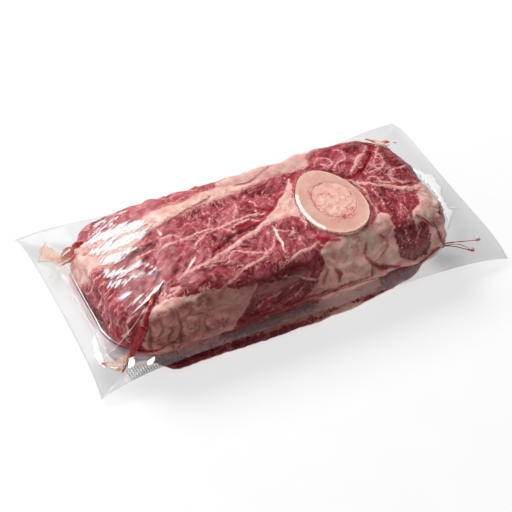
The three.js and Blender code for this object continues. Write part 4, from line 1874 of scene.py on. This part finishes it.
@dataclass(frozen=True)
class Run:
    """A length of juice or folded film: rows of x, y, z, half width, half height and how thin it has run."""

    rows: Path
    face: Facing = Facing.UP
    uneven: float = 0.6

    def surface(self, sides: int = 12) -> tuple[Array, list[list[int]], Array]:
        """The run as a closed tube with rounded ends.

        Args:
            sides: points round the tube.

        Returns:
            Its points, its faces and how thin each point has run.
        """
        rows = rounded(self.rows, closed=False, steps=8)
        middle, thin = rows[:, :3], rows[:, 5]
        uneven = 1 + self.uneven * cloud(middle, 3.4, 87, 2)
        sizes = np.maximum(rows[:, 3:5] * uneven[:, None], 0.02)
        forward = np.gradient(middle, axis=0)
        forward /= np.maximum(np.linalg.norm(forward, axis=1, keepdims=True), 1e-9)
        side = np.cross(forward, np.array(self.face.value, float))
        side /= np.maximum(np.linalg.norm(side, axis=1, keepdims=True), 1e-9)
        up = np.cross(side, forward)
        turns = full_turn(sides)[:, None]
        ends = np.array([(0.02, -0.98), (0.5, -0.85), (0.85, -0.5)])
        first = [middle[0] + forward[0] * sizes[0].mean() * back for _, back in ends]
        last = [middle[-1] - forward[-1] * sizes[-1].mean() * back for _, back in ends[::-1]]
        grow = [*ends[:, 0], *np.ones(len(rows)), *ends[::-1, 0]]
        number = [0] * len(ends) + list(range(len(rows))) + [len(rows) - 1] * len(ends)
        rings = []
        for centre, share, i in zip([*first, *middle, *last], grow, number):
            wide = np.cos(turns) * side[i] * sizes[i, 0]
            high = np.sin(turns) * up[i] * sizes[i, 1]
            rings.append(centre + (wide + high) * share)
        total = len(rings) * sides
        caps = [list(range(sides)), list(range(total - 1, total - sides - 1, -1))]
        return np.vstack(rings), [*ring_quads(len(rings), sides), *caps], np.repeat(thin[number], sides)


def join_runs(name: str, runs: Sequence[Run]) -> tuple[Object, Array]:
    """Makes one piece of several runs.

    Args:
        name: the piece's name.
        runs: the runs.

    Returns:
        The piece, and how thin each of its points has run.
    """
    points, faces, thin = [], [], []
    start = 0
    for run in runs:
        more_points, more_faces, more_thin = run.surface()
        points.append(more_points)
        thin.append(more_thin)
        faces += [[i + start for i in face] for face in more_faces]
        start += len(more_points)
    return mesh_object(name, np.vstack(points), faces), np.concatenate(thin)


# lines, drops and webs of juice, by piece
JUICE_RUNS: dict[str, tuple[Run, ...]] = {
    # two bands down the right end and the threads that leave them
    "juice_right": (
        Run(((84, -62, 53, 0.2, 0.2, 0.3), (88.5, -65.5, 50.8, 0.6, 0.4, 0.15),
             (93.3, -69, 46, 0.6, 0.4, 0.2), (100, -69.6, 36.6, 0.5, 0.4, 0.2),
             (103, -70.2, 27.6, 1.2, 0.5, 0.1), (106, -67.5, 20, 1.3, 0.5, 0.3),
             (110.5, -61.5, 14.4, 1.2, 0.5, 0.5)), Facing.RIGHT),
        Run(((81, -76, 20, 0.3, 0.3, 0.2), (86.6, -76.2, 22.8, 0.5, 0.4, 0.15),
             (93, -74.6, 25, 0.6, 0.4, 0.2), (99, -72.6, 25.4, 0.5, 0.4, 0.2),
             (104.6, -69.6, 23, 0.9, 0.5, 0.1)), Facing.RIGHT),
        Run(((109, -60.5, 14.2, 1.0, 0.5, 0.4), (115.4, -60.4, 13.7, 0.5, 0.3, 0.35),
             (125.5, -62.3, 12.7, 0.3, 0.25, 0.4), (133, -63.8, 11.9, 0.35, 0.25, 0.5),
             (135.6, -64.2, 11.6, 0.8, 0.4, 0.7), (137.6, -64.6, 11.4, 0.8, 0.6, 0.6))),
        Run(((111, -61.5, 14, 0.6, 0.4, 0.4), (118, -65, 13, 0.3, 0.25, 0.4),
             (124, -69, 11.6, 0.4, 0.3, 0.4), (126.4, -70.4, 11, 1.0, 0.5, 0.3),
             (128.4, -71.6, 10.7, 0.9, 0.6, 0.6))),
        Run(((113, -62, 13.8, 0.4, 0.3, 0.4), (118.5, -62.8, 13.2, 0.25, 0.2, 0.4),
             (123.5, -65.6, 12.5, 0.25, 0.2, 0.5), (127, -70, 11, 0.3, 0.2, 0.5))),
    ),
    # a smear over the back right edge and drops beyond it
    "juice_back_right": (
        Run(((97, 13.6, 51.4, 1.0, 0.6, 0.9), (100.4, 14.2, 49.6, 2.2, 0.9, 0.95),
             (104, 13.6, 47.4, 1.8, 0.8, 0.9), (107, 12, 45.6, 0.8, 0.5, 0.8)), Facing.BACK_EDGE),
        Run(((122, 66.6, 9.4, 0.6, 0.4, 0.9), (125.6, 62, 9.9, 1.8, 0.6, 0.9),
             (128.6, 57.6, 10.4, 2.2, 0.6, 0.95), (131, 53, 11, 1.0, 0.5, 0.9))),
        Run(((129, 60, 9.9, 0.8, 0.5, 0.5), (131.6, 57.6, 10.8, 1.3, 0.8, 0.3),
             (133, 56, 11.2, 0.8, 0.5, 0.5))),
        Run(((120.6, 68.6, 9.2, 0.5, 0.4, 0.2), (122.6, 65.4, 9.8, 0.8, 0.6, 0.2),
             (124, 62, 10.2, 0.4, 0.4, 0.3))),
        Run(((135.6, 53.4, 11.8, 0.8, 0.6, 1.0), (136.8, 52.2, 12.1, 0.9, 0.7, 1.0))),
    ),
    # the orange pool at the back left and its pale web
    "juice_back_left": (
        Run(((-121, 14.4, 46.6, 0.4, 0.3, 0.1), (-123, 15.4, 45.2, 1.5, 0.5, 0.0),
             (-125, 17.4, 42.4, 2.2, 0.6, 0.05), (-127, 21, 37, 2.6, 0.6, 0.4),
             (-128.4, 24, 32.6, 3.4, 0.7, 0.6), (-129.6, 27.6, 28, 3.6, 0.7, 0.7),
             (-131.4, 32, 21, 2.4, 0.5, 0.8), (-134, 36.6, 15.4, 1.4, 0.4, 1.0)), Facing.LEFT),
        Run(((-123.6, 12, 42, 0.4, 0.4, 0.15), (-127, 16, 35.6, 0.9, 0.5, 0.3),
             (-129.6, 20, 28.6, 1.0, 0.5, 0.35), (-131.6, 25, 23, 0.8, 0.5, 0.4),
             (-133, 29.6, 17.6, 0.5, 0.4, 0.5)), Facing.LEFT),
        Run(((-132, 35, 16, 2.6, 0.3, 1.0), (-135.6, 40, 14.6, 3.0, 0.3, 1.1),
             (-140, 43.4, 14.4, 2.4, 0.3, 1.1), (-145, 43.4, 14.2, 0.8, 0.3, 0.9))),
        Run(((-133, 37, 15.4, 2.2, 0.2, 1.1), (-135, 46, 13.4, 4.4, 0.2, 1.25),
             (-136.4, 54, 12.2, 4.2, 0.2, 1.3), (-136, 60, 11.2, 1.4, 0.2, 1.1)), uneven=0.3),
        Run(((-133, 63.4, 10.2, 0.4, 0.3, 0.8), (-138.6, 55, 12.4, 0.3, 0.25, 1.0),
             (-143.6, 46, 14.2, 0.3, 0.25, 0.9))),
    ),
    # the dark line down the front left corner and the orange pool at its foot
    "juice_front_left": (
        Run(((-96, -54, 51.6, 0.4, 0.3, 0.6), (-99.4, -56, 50.8, 1.5, 0.5, 0.66),
             (-103, -58, 50, 1.5, 0.6, 0.5), (-106.4, -62.6, 48, 1.5, 0.7, 0.1),
             (-109.6, -66, 45.2, 1.8, 0.9, 0.0), (-113, -68.6, 40.6, 2.4, 1.0, 0.0),
             (-116.4, -69.4, 34, 3.2, 1.0, 0.0), (-119.4, -69.4, 27, 2.9, 1.0, 0.0),
             (-121.6, -68.4, 20.6, 2.2, 0.9, 0.05), (-122.8, -67.4, 16.4, 1.6, 0.7, 0.2)), Facing.CORNER),
        Run(((-122.4, -67, 17, 1.4, 0.5, 0.3), (-125.2, -68.6, 14.6, 1.3, 0.4, 0.5),
             (-127.8, -70, 13.2, 0.9, 0.4, 0.35), (-130.6, -72.6, 12, 0.9, 0.4, 0.55),
             (-131.8, -74, 11.6, 0.4, 0.3, 0.4)), Facing.LEFT),
        Run(((-123, -65.6, 16.4, 1.2, 0.4, 0.7), (-127.6, -66.4, 14.4, 3.0, 0.4, 1.0),
             (-132.6, -67, 13.2, 3.4, 0.4, 1.1), (-136.6, -65.6, 13, 2.2, 0.4, 1.0),
             (-139.4, -63.4, 12.9, 1.5, 0.5, 0.55), (-141, -61.6, 12.8, 0.5, 0.4, 0.5))),
        Run(((-130.6, -71.6, 12, 0.5, 0.4, 0.9), (-134, -70.6, 12.2, 1.4, 0.5, 0.95),
             (-137, -68, 12.4, 0.5, 0.4, 0.9))),
        Run(((-121.6, -62.4, 17, 0.6, 0.4, 0.9), (-124.6, -64.6, 15.6, 1.2, 0.5, 0.95),
             (-127.6, -66, 14.6, 0.5, 0.4, 0.9))),
    ),
    # thin lines of juice along the foot of the front
    "juice_front": (
        Run(((-120.6, -69.4, 21.6, 1.1, 0.6, 0.05), (-115.6, -73.8, 22.4, 1.0, 0.6, 0.15),
             (-108, -76.6, 23.6, 0.8, 0.5, 0.2), (-101, -76.9, 25.6, 0.5, 0.4, 0.4),
             (-96, -77, 25, 0.5, 0.4, 0.35), (-92, -77.2, 22.4, 0.5, 0.4, 0.35),
             (-95, -78, 20.6, 0.4, 0.3, 0.4)), Facing.FRONT),
        Run(((-46, -77.6, 24, 0.1, 0.1, 0.2), (-27.6, -76.8, 25.9, 0.25, 0.2, 0.2),
             (-7.8, -77.3, 23.6, 0.15, 0.15, 0.3), (14.4, -77.2, 23.2, 0.3, 0.2, 0.15),
             (34, -77, 22.8, 0.2, 0.2, 0.3), (47, -76.8, 22.1, 0.25, 0.2, 0.15),
             (60, -76.6, 21.4, 0.1, 0.1, 0.3)), Facing.FRONT),
    ),
}

# folds of film, and milky white strips that stand for glare and glints
FOLD_AND_GLARE_RUNS: tuple[Run, ...] = (
    # the bright fold over the front left shoulder, and the thin ones beside it
    Run(((-90, -47.2, 52.4, 0.2, 0.2, 0.9), (-94, -50.2, 51.9, 1.0, 0.25, 0.97),
         (-99, -53, 51.2, 1.5, 0.3, 0.97), (-105, -56.2, 49.9, 1.3, 0.3, 0.97),
         (-111, -58.6, 48.4, 0.6, 0.25, 0.95), (-118, -60, 45.2, 0.2, 0.2, 0.8)), Facing.SHOULDER),
    Run(((-109.8, -62.4, 48.8, 0.15, 0.3, 0.7), (-117, -64.5, 41.4, 0.16, 0.35, 0.7),
         (-124, -63.8, 32.4, 0.16, 0.35, 0.7), (-131, -61, 21.4, 0.16, 0.3, 0.7),
         (-138, -56.6, 13.4, 0.12, 0.2, 0.6)), Facing.CORNER),
    # the line along the left end's foot
    Run(((-129.6, 33, 16.4, 0.2, 0.2, 0.8), (-130.2, 15.5, 16.6, 0.26, 0.3, 0.9),
         (-130.8, -5, 16.6, 0.3, 0.3, 0.9), (-130.8, -24, 16.4, 0.26, 0.3, 0.9),
         (-131, -38, 16, 0.4, 0.3, 0.95), (-127.6, -50, 16, 0.3, 0.3, 0.9),
         (-122, -59, 16.4, 0.2, 0.2, 0.8)), Facing.LEFT_FOOT),
    # painted glare in the left margin: a milky white triangle and two small glints
    Run(((-136.4, -37.6, 13.6, 0.3, 0.2, 0.8), (-138.2, -43, 13.7, 1.6, 0.3, 0.9),
         (-140, -52, 13.5, 2.4, 0.35, 0.95), (-140.6, -60, 12.9, 2.0, 0.3, 0.9),
         (-140.2, -66, 12.4, 0.6, 0.2, 0.8)), Facing.LEFT_MARGIN),
    Run(((-142.5, 28.6, 14.1, 0.4, 0.3, 0.9), (-143.2, 26.6, 14.1, 0.6, 0.3, 0.9))),
    Run(((-143, 14, 13.4, 0.4, 0.3, 0.9), (-143.6, 12, 13.4, 0.7, 0.3, 0.9))),
    Run(((-122.1, -69.6, 17.3, 0.6, 0.1, 0.85), (-123.4, -70.3, 15.8, 2.4, 0.16, 0.9),
         (-125.4, -71.3, 13.4, 2.6, 0.16, 0.9), (-126.7, -72, 11.8, 0.8, 0.1, 0.85)), Facing.LAMP, 0.5),
    Run(((-109.8, -75.5, 17.4, 0.5, 0.1, 0.85), (-111.3, -75.5, 16, 1.8, 0.16, 0.9),
         (-113.5, -75.6, 14, 2.2, 0.16, 0.9), (-115, -75.7, 12.6, 0.7, 0.1, 0.85)), Facing.LAMP, 0.5),
    # the band of glare beside the right end
    Run(((131.6, 21, 14.2, 0.2, 0.2, 0.7), (134.6, 11, 14.6, 2.6, 0.25, 0.9),
         (136.4, 3, 14.6, 4.2, 0.3, 0.97), (136.4, -6, 14.6, 3.6, 0.3, 0.97),
         (134.2, -15, 14.4, 2.0, 0.3, 0.97), (132.4, -25, 14.2, 2.0, 0.3, 0.97),
         (131, -33, 14, 2.8, 0.3, 0.97), (127.6, -40, 14.2, 1.2, 0.3, 0.9),
         (121, -49, 14.2, 0.3, 0.2, 0.7)), uneven=0.9),
    Run(((132.4, -27, 14.4, 0.2, 0.2, 0.8), (136, -30.4, 14.2, 0.8, 0.2, 0.9),
         (140.6, -33.4, 13.8, 0.2, 0.2, 0.8))),
    # glints on the juice
    Run(((-126.4, 20.6, 39.4, 0.3, 0.3, 1), (-128.2, 23, 35.4, 0.8, 0.4, 1), (-130.2, 27, 30, 0.7, 0.4, 1),
         (-131.8, 30.6, 24.6, 0.3, 0.3, 1)), Facing.LEFT, 1.0),
    Run(((135.6, -62.6, 12.6, 0.3, 0.3, 1), (136.8, -63.2, 12.4, 0.9, 0.4, 1),
         (138, -64, 12, 0.3, 0.3, 1))),
    Run(((127, -69.4, 12, 0.3, 0.3, 1), (128.4, -70.6, 11.8, 0.9, 0.4, 1),
         (129.2, -71.6, 11.4, 0.3, 0.3, 1))),
    Run(((-124.4, -68, 16, 0.2, 0.3, 1), (-127, -69.6, 14.4, 0.4, 0.4, 1), (-129.8, -72, 13, 0.2, 0.3, 1))),
    Run(((-131.6, -69.6, 13.4, 0.3, 0.3, 1), (-134.4, -70, 13, 1.2, 0.4, 1),
         (-137.6, -67.6, 13, 0.4, 0.3, 1))),
)


@dataclass(frozen=True)
class Juice:
    """Juice caught where the bag is gathered, and the threads of it drawn out into the margins."""

    groups: dict[str, tuple[Run, ...]]

    def build(self) -> None:
        """Makes each group of juice as a piece of its own."""
        material = JuiceFinish().material()
        for name, runs in self.groups.items():
            piece, thin = join_runs(name, runs)
            set_values(piece, run=thin)
            settle(piece, material)


@dataclass(frozen=True)
class FilmFoldsAndGlare:
    """Sharp folds of film, and milky white strips of painted glare and glints, each row's last number being
    how milky it is.
    """

    runs: tuple[Run, ...]
    gloss: float = 2
    lamp_gloss: float = 7
    crinkle: float = 0.3

    def build(self, film: Material) -> Object:
        """Makes the folds and the painted glare as one piece of the given material, glossiest by the front
        left seal.

        Args:
            film: The film's material.

        Returns:
            The folds.
        """
        piece, milk = join_runs("film_folds", self.runs)
        x, y, z = np.array([vertex.co for vertex in piece.data.vertices]).T / MM
        shaded = ramp(-y, 66, 68) * (z < 20)
        gloss = self.gloss + self.lamp_gloss * shaded * (x > -129) * (x < 0)
        set_values(piece, milk=milk, below=0.9 * shaded, gloss=gloss, crinkle=self.crinkle, emboss=0)
        return settle(piece, film, "film")


@dataclass(frozen=True)
class SealRibs:
    """The ribbed heat seal along the front left edge, made with Geometry Nodes."""

    first: float = 0.072
    last: float = 0.186
    count: int = 20
    unevenness: float = 0.12
    seed: int = 7
    inset: float = 4.6
    out: float = 0.82
    half_length: float = 4.0
    half_width: float = 0.46
    height: float = 0.36
    taper: float = 0.8

    def path(self, bag: Bag) -> Object:
        """The line along the middle of the seal, as a wire.

        Args:
            bag: The bag that the seal runs in.

        Returns:
            The wire.
        """
        places = np.linspace(self.first, self.last, 40)
        edge = bag.edge(places)
        height = bag.margin_height(places, self.out, np.full(len(places), FORM.seam))
        points = np.column_stack([edge[:, 0], edge[:, 1] + self.inset, height + bag.gap / 2])
        return mesh_object("seal_ribs", points, [], edges=[(i, i + 1) for i in range(len(points) - 1)])

    def rib(self) -> Object:
        """One rib, lying along Y.

        Returns:
            The rib.
        """
        length, wide, high = self.half_length, self.half_width, self.height
        stations = ((-length, 0), (self.taper - length, 1), (length - self.taper, 1), (length, 0))
        rows = [(0, y, 0, *((wide, high) if full else (wide * 0.6, high * 0.3)), 0) for y, full in stations]
        points, faces, _ = Run(tuple(rows)).surface(8)
        return mesh_object("seal_rib", points, faces)

    @staticmethod
    def tree() -> bpy.types.GeometryNodeTree:
        """The node tree: ribs at even steps along a wire, square to it.

        Returns:
            The tree.
        """
        tree = bpy.data.node_groups.new("seal_ribs", "GeometryNodeTree")
        inputs = {"Geometry": "Geometry", "Rib": "Object", "Count": "Int", "Unevenness": "Float"}
        inputs |= {"Seed": "Int", "Material": "Material"}
        for name, kind in inputs.items():
            tree.interface.new_socket(name, in_out="INPUT", socket_type="NodeSocket" + kind)
        tree.interface.new_socket("Geometry", in_out="OUTPUT", socket_type="NodeSocketGeometry")
        kinds = {
            "given": "NodeGroupInput",
            "curve": "GeometryNodeMeshToCurve",
            "spaced": "GeometryNodeResampleCurve",
            "tangent": "GeometryNodeInputTangent",
            "turn": "FunctionNodeAlignRotationToVector",
            "info": "GeometryNodeObjectInfo",
            "least": "ShaderNodeMath",
            "chance": "FunctionNodeRandomValue",
            "place": "GeometryNodeInstanceOnPoints",
            "real": "GeometryNodeRealizeInstances",
            "paint": "GeometryNodeSetMaterial",
            "made": "NodeGroupOutput",
        }
        nodes = {name: tree.nodes.new(kind) for name, kind in kinds.items()}
        nodes["turn"].axis = "X"
        nodes["least"].operation = "SUBTRACT"
        nodes["least"].inputs[0].default_value = 1.0
        nodes["chance"].data_type = "FLOAT"
        nodes["chance"].inputs[3].default_value = 1.0
        for source, output, target, socket in (
            ("given", "Geometry", "curve", 0),
            ("curve", 0, "spaced", "Curve"),
            ("given", "Count", "spaced", "Count"),
            ("tangent", 0, "turn", "Vector"),
            ("given", "Rib", "info", 0),
            ("given", "Unevenness", "least", 1),
            ("least", 0, "chance", 2),
            ("given", "Seed", "chance", "Seed"),
            ("spaced", 0, "place", "Points"),
            ("info", "Geometry", "place", "Instance"),
            ("turn", 0, "place", "Rotation"),
            ("chance", 1, "place", "Scale"),
            ("place", 0, "real", 0),
            ("real", 0, "paint", "Geometry"),
            ("given", "Material", "paint", "Material"),
            ("paint", 0, "made", 0),
        ):
            tree.links.new(nodes[source].outputs[output], nodes[target].inputs[socket])
        return tree

    def build(self, bag: Bag, film: Material) -> Object:
        """Makes the ribs on a bag as one plain mesh of the given material.

        Args:
            bag: The bag that the seal runs in.
            film: The film's material.

        Returns:
            The ribs.
        """
        wire, rib = self.path(bag), self.rib()
        grow = wire.modifiers.new("ribs", "NODES")
        grow.node_group = self.tree()
        given = {"Rib": rib, "Count": self.count, "Unevenness": self.unevenness, "Seed": self.seed}
        given["Material"] = film
        for item in grow.node_group.interface.items_tree:
            if item.in_out == "INPUT" and item.name in given:
                grow[item.identifier] = given[item.name]
        seen = wire.evaluated_get(bpy.context.evaluated_depsgraph_get())
        mesh = bpy.data.meshes.new_from_object(seen)
        wire.modifiers.clear()
        wire.data = mesh
        bpy.data.objects.remove(rib)
        set_values(wire, dim=0.55, milk=0.1, below=0.5, gloss=0.5, crinkle=0, emboss=0)
        return settle(wire, film, "film")


# ---- the studio


@dataclass(frozen=True)
class Lamp:
    """A soft rectangular lamp: its direction, its distance, width and height in metres, and its watts."""

    name: str
    toward: Triple
    away: float
    size: Pair
    power: float


@dataclass(frozen=True)
class Studio:
    """Pale floor, soft lights and the camera."""

    azimuth: float = -25.63
    elevation: float = 43.0
    distance: float = 1100
    lens: float = 114.7
    sensor: float = 36
    aim: Triple = (-12.6, -21.1, 20)
    world: float = 0.15
    lamps: tuple[Lamp, ...] = (
        Lamp("key", (-0.2, 0.66, 0.73), 1.9, (1.05, 0.92), 52),
        Lamp("fill_left", (-0.95, -0.15, 0.5), 1.6, (0.9, 0.7), 6),
    )
    floor_steps: int = 48
    floor_reach: Triple = (600, 2400, 9000)
    floor_level: float = -0.02
    floor_pale: Colour = (140, 140, 140)
    floor_dark: Colour = (138, 138, 138)
    floor_glow: float = 0.7

    @staticmethod
    def stand(data: bpy.types.Camera | bpy.types.Light, back: Vector, place: Vector) -> Object:
        """Puts a camera or a lamp at a place, turned to look along the opposite of a direction.

        Args:
            data: The camera or the lamp.
            back: The opposite of where it looks.
            place: Where it stands.

        Returns:
            The object that was put there.
        """
        thing = bpy.data.objects.new(data.name, data)
        thing.location = place
        thing.rotation_euler = back.to_track_quat("Z", "Y").to_euler()
        bpy.context.scene.collection.objects.link(thing)
        return thing

    def camera(self) -> None:
        """Places the camera."""
        turn, rise = math.radians(self.azimuth), math.radians(self.elevation)
        back = Vector((math.sin(turn) * math.cos(rise), -math.cos(turn) * math.cos(rise), math.sin(rise)))
        data = bpy.data.cameras.new("camera")
        data.lens, data.sensor_width = self.lens, self.sensor
        place = (Vector(self.aim) + back * self.distance) * MM
        bpy.context.scene.camera = self.stand(data, back, place)

    def light(self) -> None:
        """Places the lamps and sets the surrounding light."""
        for lamp in self.lamps:
            data = bpy.data.lights.new(lamp.name, "AREA")
            data.shape, data.size, data.size_y, data.energy = "RECTANGLE", *lamp.size, lamp.power
            direction = Vector(lamp.toward).normalized()
            self.stand(data, direction, direction * lamp.away)
        world = bpy.data.worlds.new("studio")
        world.use_nodes = True
        world.node_tree.nodes["Background"].inputs[0].default_value = (1, 1, 1, 1)
        world.node_tree.nodes["Background"].inputs[1].default_value = self.world
        bpy.context.scene.world = world

    def floor(self) -> None:
        """Makes a wide, flat, pale floor that glows a little, to stay near white."""
        turns = full_turn(self.floor_steps)
        level = np.full(self.floor_steps, self.floor_level)
        rings = [np.column_stack([r * np.cos(turns), r * np.sin(turns), level]) for r in self.floor_reach]
        faces = [list(range(self.floor_steps)), *ring_quads(len(rings), self.floor_steps)]
        floor = mesh_object("floor", np.vstack(rings), faces, smooth=False)
        g = Graph("pale_floor")
        colour = g.blend(g.span(g.noise(g.place(), 40, 2), 0.3, 0.7), self.floor_pale, self.floor_dark)
        inputs = {"Base Color": colour, "Roughness": 0.8, "Specular IOR Level": 0.1}
        inputs |= {"Emission Color": (1, 1, 1, 1), "Emission Strength": self.floor_glow}
        floor.data.materials.append(g.finish(g.add("BsdfPrincipled", inputs).outputs[0]))

    def set_up(self) -> None:
        """Sets the camera, floor and lights."""
        bpy.context.scene.view_settings.view_transform = "Standard"
        self.camera()
        self.floor()
        self.light()


def main() -> None:
    """Builds the pack, dresses it and sets up the studio."""
    logging.basicConfig(level=logging.INFO, format="%(name)s %(message)s")
    Studio().set_up()
    bone = ShankBone()
    bone.bone()
    bone.marrow()
    beef = Beef()
    beef.shape()
    beef.build()
    film = FilmFinish().material()
    bag = Bag()
    bag.build(film)
    FilmFoldsAndGlare(FOLD_AND_GLARE_RUNS).build(film)
    SealRibs().build(bag, film)
    Juice(JUICE_RUNS).build()


if __name__ == "__main__":
    main()
